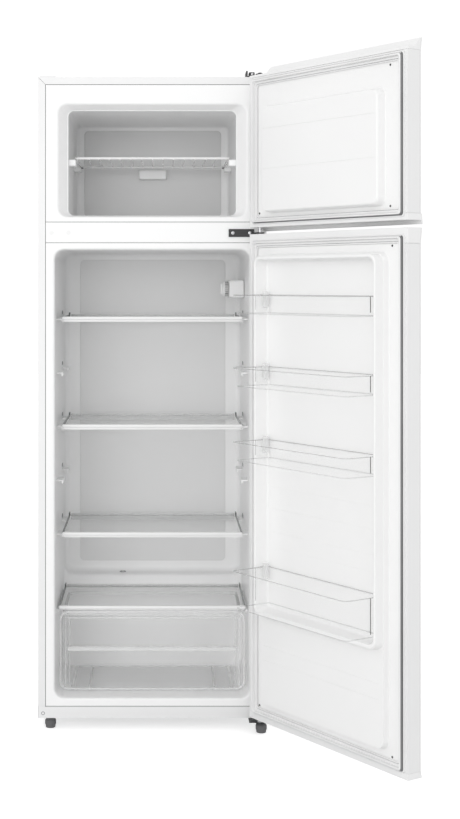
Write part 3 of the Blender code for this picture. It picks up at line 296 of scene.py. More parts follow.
def cut(bm, cutter):
    """Cuts another closed mesh away, and returns the new mesh."""
    made = []
    for source in (bm, cutter):
        mesh = bpy.data.meshes.new("boolean")
        source.to_mesh(mesh)
        source.free()
        obj = bpy.data.objects.new("boolean", mesh)
        bpy.context.scene.collection.objects.link(obj)
        made.append(obj)
    modifier = made[0].modifiers.new("cut", "BOOLEAN")
    modifier.operation = "DIFFERENCE"
    modifier.solver = "EXACT"
    modifier.object = made[1]
    graph = bpy.context.evaluated_depsgraph_get()
    result = bpy.data.meshes.new_from_object(made[0].evaluated_get(graph))
    out = bmesh.new()
    out.from_mesh(result)
    for obj in made:
        bpy.data.objects.remove(obj)
    bpy.data.meshes.remove(result)
    return out


def finish(name, bm, looks, body="cabinet", slot=None, replaced=(), shut=False, recalc=True):
    """Makes the finished object: in place, smooth, with its looks by name, riding on its body.
    The slot argument is not used."""
    if recalc:
        bmesh.ops.recalc_face_normals(bm, faces=bm.faces)
    if shut:
        bmesh.ops.transform(bm, matrix=TO_SHUT.inverted(), verts=bm.verts)
    mesh = bpy.data.meshes.new(name)
    bm.to_mesh(mesh)
    bm.free()
    mesh.shade_smooth()
    mesh.set_sharp_from_angle(angle=SMOOTH_UP_TO)
    for look in looks if isinstance(looks, list) else [looks]:
        mesh.materials.append(LOOKS[look])
    obj = bpy.data.objects.new(name, mesh)
    bpy.context.scene.collection.objects.link(obj)
    normals = obj.modifiers.new("even shading", "WEIGHTED_NORMAL")
    normals.keep_sharp = True
    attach(obj, body)
    slot = slot or looks
    if replaced:
        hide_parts(*replaced)
    return obj


def refined(node, name, bevel=0.0, look=None):
    """Replaces a solid by its own merged copy, smooth where it is round, with softened edges."""
    bm = copy_of(node)
    if bevel:
        edges = [
            e for e in bm.edges
            if len(e.link_faces) == 2 and e.calc_face_angle() > math.radians(40)]
        soften(bm, edges, bevel, 2, clamp=True)
    finish(name, bm, look or SLOT_OF[node], BODY_OF[node], SLOT_OF[node], (node,), recalc=False)


# ---------------------------------------------------------------- material helpers
def new_look(name, colour, roughness, **inputs):
    """A principled material with its plain values set on its own sockets."""
    look = bpy.data.materials.new(name)
    look.use_nodes = True
    shader = look.node_tree.nodes["Principled BSDF"]
    shader.inputs["Base Color"].default_value = (*colour, 1)
    shader.inputs["Roughness"].default_value = roughness
    for socket, value in inputs.items():
        shader.inputs[socket.replace("_", " ")].default_value = value
    look.diffuse_color = (*colour, 1)
    return look, look.node_tree, shader


def noise(tree, scale, detail=3.0, stretch=(1, 1, 1), roughness=0.5):
    """A noise over the piece in its own coordinates, which can be stretched along an axis."""
    nodes, links = tree.nodes, tree.links
    place = nodes.new("ShaderNodeTexCoord")
    mapping = nodes.new("ShaderNodeMapping")
    mapping.inputs["Scale"].default_value = stretch
    texture = nodes.new("ShaderNodeTexNoise")
    texture.inputs["Scale"].default_value = scale
    texture.inputs["Detail"].default_value = detail
    texture.inputs["Roughness"].default_value = roughness
    links.new(place.outputs["Object"], mapping.inputs["Vector"])
    links.new(mapping.outputs["Vector"], texture.inputs["Vector"])
    return texture.outputs["Fac"]


def spread(tree, factor, low, high, start=0.3, end=0.7):
    """Maps a factor onto a range of values."""
    node = tree.nodes.new("ShaderNodeMapRange")
    node.inputs["From Min"].default_value = start
    node.inputs["From Max"].default_value = end
    node.inputs["To Min"].default_value = low
    node.inputs["To Max"].default_value = high
    tree.links.new(factor, node.inputs["Value"])
    return node.outputs["Result"]


def two_tone(tree, shader, factor, first, second):
    """Colour that moves between two tones."""
    ramp = tree.nodes.new("ShaderNodeValToRGB")
    ramp.color_ramp.elements[0].position = 0.35
    ramp.color_ramp.elements[0].color = (*first, 1)
    ramp.color_ramp.elements[1].position = 0.65
    ramp.color_ramp.elements[1].color = (*second, 1)
    tree.links.new(factor, ramp.inputs["Fac"])
    tree.links.new(ramp.outputs["Color"], shader.inputs["Base Color"])


def relief(tree, shader, height, distance):
    """Fine surface relief, in metres of height."""
    bump = tree.nodes.new("ShaderNodeBump")
    bump.inputs["Distance"].default_value = distance
    bump.inputs["Strength"].default_value = 1.0
    tree.links.new(height, bump.inputs["Height"])
    tree.links.new(bump.outputs["Normal"], shader.inputs["Normal"])


def shade_of(colour, amount):
    """A slightly darker or lighter tone of a colour."""
    return tuple(max(0.0, min(1.0, c * amount)) for c in colour)


def solid_look(name, colour, roughness, tone=0.97, grain=900.0, depth=0.00004, gloss=0.05, **inputs):
    """Paint or moulded plastic: two close tones, a fine skin and uneven gloss."""
    look, tree, shader = new_look(name, colour, roughness, **inputs)
    two_tone(tree, shader, noise(tree, 5.0, 2.0), shade_of(colour, tone), colour)
    uneven = spread(tree, noise(tree, 22.0, 4.0), roughness - gloss, roughness + gloss)
    tree.links.new(uneven, shader.inputs["Roughness"])
    relief(tree, shader, noise(tree, grain, 2.0), depth)
    return look


def clear_look(name, colour, roughness, alpha):
    """Clear glass or plastic, thin enough to see through without bending the view."""
    look, tree, shader = new_look(name, colour, roughness, Alpha=alpha)
    uneven = spread(tree, noise(tree, 14.0, 4.0), roughness * 0.5, roughness * 1.8)
    tree.links.new(uneven, shader.inputs["Roughness"])
    two_tone(tree, shader, noise(tree, 4.0, 2.0), shade_of(colour, 0.97), colour)
    return look


# ---------------------------------------------------------------- settings
class FinishSettings(bpy.types.PropertyGroup):
    """Colours and gloss of the finishes."""

    steel: FloatVectorProperty(
        name="Painted steel", description="Colour of the cabinet and door skins",
        subtype="COLOR", size=3, min=0, max=1, default=(0.855, 0.856, 0.857))
    liner: FloatVectorProperty(
        name="Liner", description="Colour of the formed plastic inside the cabinet",
        subtype="COLOR", size=3, min=0, max=1, default=(0.945, 0.946, 0.946))
    door_liner: FloatVectorProperty(
        name="Door liner", description="Colour of the formed plastic inside the doors",
        subtype="COLOR", size=3, min=0, max=1, default=(0.93, 0.93, 0.928))
    trim: FloatVectorProperty(
        name="Trim", description="Colour of the moulded caps, trims and housings",
        subtype="COLOR", size=3, min=0, max=1, default=(0.89, 0.89, 0.89))
    clear: FloatVectorProperty(
        name="Clear plastic", description="Tint of the drawer and the door bins",
        subtype="COLOR", size=3, min=0, max=1, default=(0.90, 0.905, 0.905))
    glass: FloatVectorProperty(
        name="Shelf glass", description="Tint of the glass shelves",
        subtype="COLOR", size=3, min=0, max=1, default=(0.55, 0.565, 0.56))
    gasket: FloatVectorProperty(
        name="Gasket", description="Colour of the door seals",
        subtype="COLOR", size=3, min=0, max=1, default=(0.88, 0.88, 0.88))
    gloss: FloatProperty(
        name="Liner roughness", description="Roughness of the formed plastic",
        min=0.05, max=1, default=0.32, subtype="FACTOR")


class ShapeSettings(bpy.types.PropertyGroup):
    """Small sizes of the visible pieces."""

    wall: FloatProperty(
        name="Liner wall", description="Thickness of the formed plastic",
        default=0.0015, min=0.0005, max=0.004, unit="LENGTH")
    seam: FloatProperty(
        name="Seam", description="Width of the dark seams between the front strips",
        default=0.0012, min=0.0002, max=0.004, unit="LENGTH")
    wires: IntProperty(
        name="Wires", description="Wires that run from front to back in the freezer shelf",
        default=13, min=5, max=30)


class StageSettings(bpy.types.PropertyGroup):
    """Floor, light and camera."""

    floor: FloatVectorProperty(
        name="Floor", description="Colour of the floor",
        subtype="COLOR", size=3, min=0, max=1, default=(0.70, 0.70, 0.70))
    sky: FloatProperty(
        name="Surround", description="Strength of the white light all round",
        default=0.88, min=0, max=5)
    front_light: FloatProperty(
        name="Front light", description="Power of the large light in front, in watts",
        default=54.0, min=0, max=2000)
    lens: FloatProperty(
        name="Lens", description="Focal length on a 36 mm wide film",
        default=65.5, min=10, max=300, unit="CAMERA")
    distance: FloatProperty(
        name="Camera distance", description="From the lens to the cabinet front",
        default=3.587, min=0.5, max=20, unit="LENGTH")
    eye: FloatProperty(
        name="Camera height", description="Height of the lens over the floor",
        default=1.0777, min=0, max=5, unit="LENGTH")
    aside: FloatProperty(
        name="Camera aside", description="Lens to the right of the cabinet's middle",
        default=0.0136, min=-2, max=2, unit="LENGTH")


LOOKS = {}

# name, colour, roughness, darker tone, grain, depth of the grain and unevenness of the gloss
PLAIN_LOOKS = {
    # painted shade: dark grey of the seal's groove wall
    "seal_groove_shade": ("seal groove painted shade", (0.27, 0.27, 0.275), 0.7, 0.8, 1600, 0.00004, 0.08),
    "black_steel": ("black painted steel", (0.028, 0.028, 0.03), 0.42, 0.7, 500, 0.00008, 0.1),
    "foam": ("rigid foam", (0.82, 0.74, 0.50), 0.9, 0.9, 260, 0.0004, 0.05),
    "glass_edge": ("ground glass edge", (0.10, 0.12, 0.12), 0.22, 0.8, 900, 0.00003, 0.05),
    "grey_plastic": ("grey moulded plastic", (0.16, 0.16, 0.165), 0.55, 0.8, 900, 0.00008, 0.08),
    "black_plastic": ("black moulded plastic", (0.03, 0.03, 0.032), 0.5, 0.75, 900, 0.00006, 0.08),
    "dark_hole": ("dark hollow", (0.05, 0.05, 0.05), 0.8, 0.8, 900, 0.00004, 0.05),
    "hollow": ("shaded hollow", (0.34, 0.34, 0.35), 0.6, 0.8, 900, 0.00004, 0.05),
}


# ---------------------------------------------------------------- operators
class MakeFinishes(bpy.types.Operator):
    """Makes every material and gives each solid its own"""

    bl_idname = "refrigerator.finishes"
    bl_label = "Finishes"

    def execute(self, context):
        finishes = context.scene.refrigerator_finish
        for look, values in PLAIN_LOOKS.items():
            LOOKS[look] = solid_look(*values)
        formed_looks = {
            "liner_plastic": ("formed liner", finishes.liner),
            # painted shade: the back-wall fields take the liner colour darkened, the fridge's by 0.85 and the
            # freezer's by 0.76, for the shade deep in the compartments
            "fridge_rear_plate": ("formed fridge plate", shade_of(finishes.liner, 0.85)),
            "freezer_rear_plate": ("formed freezer plate", shade_of(finishes.liner, 0.76)),
            "door_liner": ("formed door liner", finishes.door_liner),
        }
        for look, (name, colour) in formed_looks.items():
            LOOKS[look] = solid_look(name, colour, finishes.gloss, 0.99, 420, 0.00002, 0.03)
        LOOKS["white_steel"] = solid_look(
            "painted steel", finishes.steel, 0.34, 0.985, 700, 0.00006, 0.05,
            Coat_Weight=0.25, Coat_Roughness=0.18)
        LOOKS["coated_wire"] = solid_look(
            "coated wire", (0.88, 0.88, 0.88), 0.25, 0.97, 900, 0.00005, 0.05,
            Coat_Weight=0.5, Coat_Roughness=0.1)
        LOOKS["white_plastic"] = solid_look(
            "moulded white plastic", finishes.trim, 0.36, 0.985, 1300, 0.00004, 0.06)
        LOOKS["gasket_rubber"] = solid_look(
            "seal rubber", finishes.gasket, 0.55, 0.95, 1600, 0.00004, 0.08)
        # painted shade: the edge look is the clear tint halved and made denser, drawn on the rims and edges of the
        # bins
        edge, frost = shade_of(finishes.clear, 0.50), shade_of(finishes.clear, 1.05)
        LOOKS["shelf_glass"] = clear_look("shelf glass", finishes.glass, 0.03, 0.07)
        LOOKS["clear_plastic"] = clear_look("clear plastic", finishes.clear, 0.06, 0.04)
        LOOKS["clear_edge_shade"] = clear_look("clear plastic edge shade", edge, 0.10, 0.34)
        LOOKS["frosted"] = clear_look("frosted plastic", frost, 0.30, 0.42)
        LOOKS["lamp_lens"] = clear_look("ribbed lamp lens", (0.92, 0.92, 0.90), 0.35, 0.6)
        LOOKS["zinc_steel"] = self.zinc()
        LOOKS["bright_steel"] = self.bright()
        LOOKS["copper"] = self.copper()
        for node, obj in NODES.items():
            obj.data.materials.clear()
            obj.data.materials.append(LOOKS[SLOT_OF[node]])
        return {"FINISHED"}

    @staticmethod
    def zinc():
        look, tree, shader = new_look("zinc coated steel", (0.6, 0.61, 0.62), 0.4, Metallic=0.9)
        two_tone(tree, shader, noise(tree, 60, 1.0, roughness=0.3), (0.50, 0.51, 0.53), (0.66, 0.67, 0.68))
        tree.links.new(spread(tree, noise(tree, 90, 2.0), 0.3, 0.5), shader.inputs["Roughness"])
        return look

    @staticmethod
    def bright():
        look, tree, shader = new_look("turned steel", (0.66, 0.66, 0.67), 0.25, Metallic=1.0)
        two_tone(tree, shader, noise(tree, 300, 2.0), (0.58, 0.58, 0.6), (0.7, 0.7, 0.71))
        tree.links.new(spread(tree, noise(tree, 900, 2.0, (1, 1, 6)), 0.18, 0.34), shader.inputs["Roughness"])
        return look

    @staticmethod
    def copper():
        look, tree, shader = new_look("drawn copper", (0.72, 0.40, 0.24), 0.3, Metallic=1.0)
        two_tone(tree, shader, noise(tree, 70, 4.0), (0.45, 0.23, 0.14), (0.75, 0.43, 0.27))
        tree.links.new(spread(tree, noise(tree, 120, 3.0), 0.25, 0.5), shader.inputs["Roughness"])
        return look


class BuildCabinet(bpy.types.Operator):
    """Steel wrapper, base and back of the cabinet"""

    bl_idname = "refrigerator.cabinet"
    bl_label = "Cabinet"

    def execute(self, context):
        seam = context.scene.refrigerator_shape.seam
        refined("outer_wrapper", "cabinet_wrapper", look="white_steel")
        self.mitres(seam)
        self.base_rail()
        self.back_panel()
        refined("bottom_panel", "machine_room_pan", look="zinc_steel")
        refined("base_plate", "compressor_plate", bevel=0.0008, look="zinc_steel")
        self.seams(seam)
        self.top_cap()
        return {"FINISHED"}

    @staticmethod
    def mitres(seam):
        """Dark hairlines where the folded front flanges meet at the upper corners."""
        low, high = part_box("outer_wrapper")
        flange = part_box("fridge_liner")[0].x - low.x
        bm = bmesh.new()
        for side, x in ((1, low.x), (-1, high.x)):
            add_rod(bm, (x + side * 0.0015, -0.00005, high.z - 0.0015),
                    (x + side * (flange - 0.0002), -0.00005, high.z - flange + 0.0002), seam * 0.22, 6)
        space = Matrix.Translation((0, -0.00005, 0)).inverted()
        bmesh.ops.scale(bm, vec=(1, 0.35, 1), space=space, verts=bm.verts)
        finish("flange_mitres", bm, "dark_hole", slot="white_steel")

    @staticmethod
    def seams(seam):
        """Shadow strips along the inner edge of the flanges and either side of the mullion."""
        liner_low, liner_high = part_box("fridge_liner")
        freezer_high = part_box("freezer_liner")[1]
        rail_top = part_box("base_rail")[1].z
        mullion_low, mullion_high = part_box("mullion_cover")
        bm = bmesh.new()
        left, right = liner_low.x, liner_high.x
        for x in (left, right):
            add_box(bm, (x - seam / 2, -0.00012, rail_top), (x + seam / 2, 0.0006, freezer_high.z))
        for z in (mullion_low.z, mullion_high.z, freezer_high.z, rail_top):
            add_box(bm, (left, -0.00012, z - seam / 2), (right, 0.0006, z + seam / 2))
        finish("front_seams", bm, "dark_hole", slot="white_steel")

    @staticmethod
    def base_rail():
        refined("base_rail", "base_rail_cover", bevel=0.0006, look="white_steel")
        bm = bmesh.new()
        plug_place = (MIDDLE - 0.2628, 0, 0.0415)
        plug = [(0, 0.0006), (0.0024, 0.0006), (0.0028, 0.0002), (0.0028, -0.0006), (0, -0.0006)]
        turned_profile(bm, plug, plug_place, "-Y", 24)
        finish("flange_plug", bm, "white_plastic")
        bm = bmesh.new()
        rim = [(0.0027, -0.0003), (0.0030, 0.0005), (0.0042, 0.0005), (0.0045, -0.0003)]
        turned_profile(bm, rim, plug_place, "-Y", 24)
        dot = [(0, 0.0004), (0.0014, 0.0003), (0.0016, -0.0003), (0, -0.0003)]
        turned_profile(bm, dot, (MIDDLE - 0.2563, 0, 0.0580), "-Y", 12)
        finish("flange_plug_ring", bm, "hollow", slot="grey_plastic")

    @staticmethod
    def back_panel():
        refined("back_panel", "rear_panel", look="white_steel")
        low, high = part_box("back_panel")
        bm = bmesh.new()
        heights = (low.z + 0.12, (low.z + high.z) / 2, high.z - 0.12)
        places = [(x, z) for z in heights for x in (low.x + 0.012, high.x - 0.012)]
        lower = (low.x * 0.7 + high.x * 0.3, low.x * 0.3 + high.x * 0.7)
        for x, z in places + [(x, low.z + 0.02) for x in lower]:
            add_rod(bm, (x, high.y - 0.0008, z), (x, high.y - 0.0002, z), 0.0035, 16, bevel=0.0003)
        finish("rear_panel_rivets", bm, "bright_steel")

    @staticmethod
    def top_cap():
        """Small cover over the spare hinge holes at the left of the cabinet top."""
        low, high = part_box("outer_wrapper")
        bm = bmesh.new()
        add_box(bm, (low.x + 0.004, 0.006, high.z), (low.x + 0.042, 0.060, high.z + 0.0035), 0.0016, 3)
        finish("spare_hinge_cover", bm, "white_plastic")


class BuildLiners(bpy.types.Operator):
    """Formed plastic inside the two compartments"""

    bl_idname = "refrigerator.liners"
    bl_label = "Liners"

    def execute(self, context):
        wall = context.scene.refrigerator_shape.wall
        self.freezer(wall)
        self.fridge(wall)
        self.rear_plates()
        self.pockets()
        self.drain()
        return {"FINISHED"}

    @staticmethod
    def freezer(wall):
        low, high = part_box("freezer_liner")
        half = (high.x - low.x) / 2
        floor, ceiling = FREEZER_FLOOR, FREEZER_CEILING
        throat = (FREEZER_HALF, floor, ceiling, 0.016)
        outside = (FREEZER_HALF + wall, floor - wall, ceiling + wall, 0.016 + wall)
        mouth = (FREEZER_HALF + 0.0228, floor - 0.0035, ceiling + 0.013, 0.022)
        behind = (mouth[0] + wall, mouth[1] - wall, mouth[2] + wall, mouth[3] + wall)
        bm = bmesh.new()
        formed(bm, [
            (*outside, CAVITY_DEPTH + wall), (*outside, FREEZER_LIP), (*behind, wall),
            (half, low.z, high.z, 0.0005, wall), (half, low.z, high.z, 0.0005, 0.0),
            (*mouth, 0.0), (*throat, FREEZER_LIP), (*throat, CAVITY_DEPTH),
        ], fillets=(0, 0, 0, 0, 0, 0.0035, 0.0012, 0.010))
        guide = bmesh.new()
        bead = ring(
            guide, (MIDDLE - FREEZER_HALF - 0.0008, floor - 0.0008),
            (MIDDLE + FREEZER_HALF + 0.0008, ceiling + 0.0008), 0.016, FREEZER_LIP - 0.0006)
        wire(bm, [v.co.copy() for v in bead.verts], 0.0014, cyclic=True)
        guide.free()
        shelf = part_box("freezer_wire_shelf")[0].z - 0.0003
        for side in (-1, 1):
            for front, back, drop in ((0.050, 0.100, 0.016), (0.290, 0.340, 0.012)):
                side_box(bm, side, FREEZER_HALF - 0.0175, FREEZER_HALF + 0.001,
                         (front, shelf - drop), (back, shelf), 0.003)
        add_box(bm, (MIDDLE - 0.037, CAVITY_DEPTH - 0.020, shelf - 0.026),
                (MIDDLE + 0.037, CAVITY_DEPTH + 0.001, shelf), 0.004)
        finish("freezer_interior", bm, "liner_plastic", replaced=("freezer_liner",))

    @staticmethod
    def fridge(wall):
        low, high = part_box("fridge_liner")
        half = (high.x - low.x) / 2
        floor, ceiling, step = FRIDGE_FLOOR, FRIDGE_CEILING, 0.3075
        lip, corner = 0.003, 0.024
        inside = [(floor, 0.010), (floor, 0.3085), (0.215, 0.3115), (step, 0.355), (step, CAVITY_DEPTH)]
        bm = bmesh.new()
        rows = [
            (FRIDGE_HALF + wall, z - wall, ceiling + wall, corner, y + wall)
            for z, y in inside[:0:-1]]
        rows += [
            (FRIDGE_HALF + wall, floor - wall, ceiling + wall, corner, wall),
            (half, low.z, high.z, 0.0005, wall), (half, low.z, high.z, 0.0005, 0.0),
            (FRIDGE_HALF + lip, floor - lip, ceiling + lip, corner + lip, 0.0)]
        rows += [(FRIDGE_HALF, z, ceiling, corner, y) for z, y in inside]
        formed(bm, rows, fillets=(0, 0, 0, 0, 0, 0, 0, 0.0025, 0.003, 0, 0, 0.006, 0.014))
        for level in SHELF_LEVELS:
            top = level - 0.0043
            for side in (-1, 1):
                tip = MIDDLE + side * (FRIDGE_HALF - 0.0135)
                for front, back in ((0.074, 0.134), (0.290, 0.350)):
                    side_box(bm, side, FRIDGE_HALF - 0.016, FRIDGE_HALF + 0.001,
                             (front, top - 0.0030), (back, top), 0.0008, 2)
                    add_box(bm, (tip - 0.0025, front, top - 0.009),
                            (tip + 0.0025, back, top - 0.0004), 0.0018)
        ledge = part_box("crisper_cover_glass")[1].z + 0.0015 - 0.0103
        for side in (-1, 1):
            side_box(bm, side, FRIDGE_HALF - 0.007, FRIDGE_HALF + 0.001,
                     (0.075, ledge - 0.010), (0.300, ledge), 0.0025)
        finish("fridge_interior", bm, "liner_plastic", replaced=("fridge_liner",))

    @staticmethod
    def rear_plates():
        """Raised fields of the back walls, over the cooling plates, coloured in a darker painted shade of the
        liner.
        """
        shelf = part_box("freezer_wire_shelf")
        plates = {
            "freezer_rear_plate": (0.183, shelf[0].z - 0.125, shelf[1].z + 0.098),
            "fridge_rear_plate": (0.194, 0.335, 1.139),
        }
        for name, (half, low, high) in plates.items():
            bm = bmesh.new()
            steps = [(0.0, 0.0006), (0.0, -0.0008), (0.0007, -0.0016), (0.0018, -0.0019)]
            formed(bm, [
                (half - inset, low + inset, high - inset, 0.012, CAVITY_DEPTH + depth)
                for inset, depth in steps])
            finish(name, bm, name, slot="liner_plastic")

    @staticmethod
    def pockets():
        """Flat patches on the side walls behind each shelf support, painted shade standing for the hollows where a
        shelf locks in.
        """
        bm = bmesh.new()
        for level in SHELF_LEVELS:
            for side in (-1, 1):
                side_box(bm, side, FRIDGE_HALF - 0.0008, FRIDGE_HALF + 0.001,
                         (0.268, level + 0.003), (0.300, level + 0.012), 0.0004, 1)
        finish("shelf_lock_hollow_shade", bm, "hollow", slot="liner_plastic")

    @staticmethod
    def drain():
        """Outlet for melt water at the back of the step over the machine space."""
        bm = bmesh.new()
        funnel = [
            (0, -0.001), (0.0045, -0.001), (0.0055, 0.0002), (0.0072, 0.0012), (0.0085, 0.0002),
            (0.0085, -0.003), (0, -0.003)]
        turned_profile(bm, funnel, (MIDDLE - 0.0797, 0.386, 0.3085))
        # painted shade: the funnel is coloured the grey of a shaded hollow
        finish("drain_outlet", bm, "hollow", slot="liner_plastic")


class BuildMullion(bpy.types.Operator):
    """Strip between the compartments with its hinge plate and plugs"""

    bl_idname = "refrigerator.mullion"
    bl_label = "Mullion"

    def execute(self, context):
        low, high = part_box("mullion_cover")
        refined("mullion_cover", "mullion_strip", look="liner_plastic")
        bm = bmesh.new()
        for x in (low.x + 0.014, low.x + 0.055):
            button = [(0, 0.0009), (0.0042, 0.0007), (0.0052, 0.0), (0, -0.0004)]
            turned_profile(bm, button, (x, low.y, (low.z + high.z) / 2 - 0.0005), "-Y", 24)
        finish("mullion_plugs", bm, "white_plastic")
        refined("middle_hinge_bracket", "middle_hinge_plate", bevel=0.0004, look="black_steel")
        refined("middle_hinge_pin", "middle_hinge_pivot", look="bright_steel")
        for number in (1, 2):
            self.screw(f"middle_hinge_screw_{number}")
        return {"FINISHED"}

    @staticmethod
    def screw(node):
        low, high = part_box(node)
        centre = ((low.x + high.x) / 2, low.y, (low.z + high.z) / 2)
        radius = (high.x - low.x) / 2
        bm = bmesh.new()
        head = [
            (0, -0.0006), (radius * 0.42, -0.0006), (radius * 0.5, 0.0), (radius * 0.8, -0.0001),
            (radius * 0.97, -0.0006), (radius * 0.97, -0.0014), (0, -0.0014)]
        turned_profile(bm, head, centre, "-Y", 24)
        for turn in (0, 90):
            slot = bmesh.new()
            add_box(slot, (-radius * 0.5, -0.0003, -radius * 0.1), (radius * 0.5, 0.0015, radius * 0.1))
            turned = Matrix.Rotation(math.radians(turn + 20), 3, "Y")
            bmesh.ops.rotate(slot, cent=(0, 0, 0), matrix=turned, verts=slot.verts)
            bmesh.ops.translate(slot, vec=centre, verts=slot.verts)
            bm = cut(bm, slot)
        finish(f"{node}_head", bm, "bright_steel", replaced=(node,))


class BuildHinges(bpy.types.Operator):
    """Upper and lower hinge brackets with their pins"""

    bl_idname = "refrigerator.hinges"
    bl_label = "Hinges"

    def execute(self, context):
        refined("top_hinge_bracket", "top_hinge_plate", bevel=0.0004, look="black_steel")
        refined("bottom_hinge_bracket", "bottom_hinge_plate", bevel=0.0004, look="black_steel")
        self.top_pivot()
        self.top_block()
        refined("bottom_hinge_pin", "bottom_hinge_pivot", look="bright_steel")
        return {"FINISHED"}

    @staticmethod
    def top_pivot():
        """Pin of the upper hinge with a low rounded head."""
        low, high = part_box("top_hinge_pin")
        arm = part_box("top_hinge_bracket")[0].z
        bm = bmesh.new()
        pin = [
            (0, arm + 0.0062), (0.0030, arm + 0.0060), (0.0052, arm + 0.0050),
            (0.0060, arm + 0.0036), (0.0040, arm + 0.0033), (0.0040, low.z), (0, low.z)]
        turned_profile(bm, pin, ((low.x + high.x) / 2, (low.y + high.y) / 2, 0.0))
        finish("top_hinge_pivot", bm, "black_steel", slot="bright_steel", replaced=("top_hinge_pin",))

    @staticmethod
    def top_block():
        """Folded root of the upper hinge with its screw."""
        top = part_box("top_hinge_bracket")[0].z + 0.0030
        left = MIDDLE + 0.2268
        bm = bmesh.new()
        add_box(bm, (left, 0.0045, top - 0.0005), (left + 0.0035, 0.0500, top + 0.0125), 0.0010, 2)
        add_box(bm, (left + 0.0065, 0.0060, top - 0.0005), (left + 0.0205, 0.0300, top + 0.0095), 0.0022)
        finish("top_hinge_root", bm, "black_steel")
        bm = bmesh.new()
        head = [(0, 0.0010), (0.0018, 0.0009), (0.0030, 0.0003), (0.0032, -0.0010), (0, -0.0010)]
        turned_profile(bm, head, (left + 0.0145, 0.0060, top + 0.0048), "-Y", 20)
        finish("top_hinge_screw", bm, "bright_steel")


class BuildFeet(bpy.types.Operator):
    """Ribbed levelling feet in front and fixed pads behind"""

    bl_idname = "refrigerator.feet"
    bl_label = "Feet"

    def execute(self, context):
        for node in ("front_foot_left", "front_foot_right"):
            self.levelling_foot(node)
        for node in ("rear_foot_left", "rear_foot_right"):
            refined(node, f"{node}_pad", bevel=0.0012, look="grey_plastic")
        return {"FINISHED"}

    @staticmethod
    def levelling_foot(node):
        low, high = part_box(node)
        middle = ((low.x + high.x) / 2, (low.y + high.y) / 2, 0.0)
        radius = (high.x - low.x) / 2
        bm = bmesh.new()
        profile = [
            (0, 0.0), (radius * 0.80, 0.0), (radius * 0.88, 0.0012), (radius * 0.88, 0.006),
            (radius * 0.96, 0.0075), (radius * 0.96, 0.0185), (radius * 0.72, 0.0215),
            (radius * 0.42, 0.0225),
            (radius * 0.30, 0.0225), (radius * 0.30, high.z), (0, high.z),
        ]
        turned_profile(bm, profile, middle, "Z", 40)
        for n in range(20):
            turn = math.tau * n / 20
            x = middle[0] + math.cos(turn) * radius * 0.955
            y = middle[1] + math.sin(turn) * radius * 0.955
            add_rod(bm, (x, y, 0.0078), (x, y, 0.018), radius * 0.045, 8)
        finish(f"{node}_ribbed", bm, "grey_plastic", BODY_OF[node], replaced=(node,))


class BuildShelves(bpy.types.Operator):
    """Glass shelves with moulded front and rear trims, and the drawer cover"""

    bl_idname = "refrigerator.shelves"
    bl_label = "Shelves"

    def execute(self, context):
        for name in ("shelf_1", "shelf_2", "shelf_3", "crisper_cover"):
            self.pane(name)
            self.front_bar(name)
            self.side_strips(name)
            self.rear_trim(name)
        return {"FINISHED"}

    @staticmethod
    def pane(name):
        low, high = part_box(f"{name}_glass")
        bm = bmesh.new()
        add_box(bm, low, high, 0.0010, 2)
        finish(f"{name}_pane", bm, "shelf_glass", name, replaced=(f"{name}_glass",))

    @staticmethod
    def front_bar(name):
        """White bar on the front edge, its lower part set back."""
        low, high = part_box(f"{name}_front_trim")
        bm = bmesh.new()
        add_box(bm, (low.x, low.y, high.z - 0.0070), (high.x, low.y + 0.0100, high.z), 0.0018)
        add_box(bm, (low.x + 0.003, low.y + 0.0045, low.z),
                (high.x - 0.003, high.y, high.z - 0.0006), 0.0010, 2)
        finish(f"{name}_front_bar", bm, "white_plastic", name, replaced=(f"{name}_front_trim",))

    @staticmethod
    def side_strips(name):
        """Dark grips along both sides of the glass, with a hook that stands up at the rear."""
        low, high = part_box(f"{name}_glass")
        bm = bmesh.new()
        for x, inward in ((low.x, 1), (high.x, -1)):
            inner, outer = sorted((x - inward * 0.0006, x + inward * 0.0026))
            add_box(bm, (inner, low.y + 0.009, low.z - 0.0006),
                    (outer, high.y - 0.002, high.z + 0.0007), 0.0004, 1)
            add_box(bm, (inner, high.y - 0.026, high.z), (outer, high.y - 0.004, high.z + 0.0060), 0.0008, 2)
        finish(f"{name}_side_grips", bm, "glass_edge", name, slot="black_plastic")

    @staticmethod
    def rear_trim(name):
        """Clear rail clipped on the rear edge, with a low stop for food."""
        low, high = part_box(f"{name}_glass")
        bm = bmesh.new()
        # the cover slides over the drawer's rim, so its rail stays above it
        foot = low.z - (0.0018 if name == "crisper_cover" else 0.0105)
        left, right, back = low.x + 0.004, high.x - 0.004, high.y
        add_box(bm, (left, back - 0.010, foot), (right, back + 0.0015, low.z - 0.0002), 0.0006)
        add_box(bm, (left, back + 0.0002, foot), (right, back + 0.0022, high.z + 0.0012), 0.0009)
        finish(f"{name}_rear_bar", bm, "frosted", name, slot="clear_plastic")


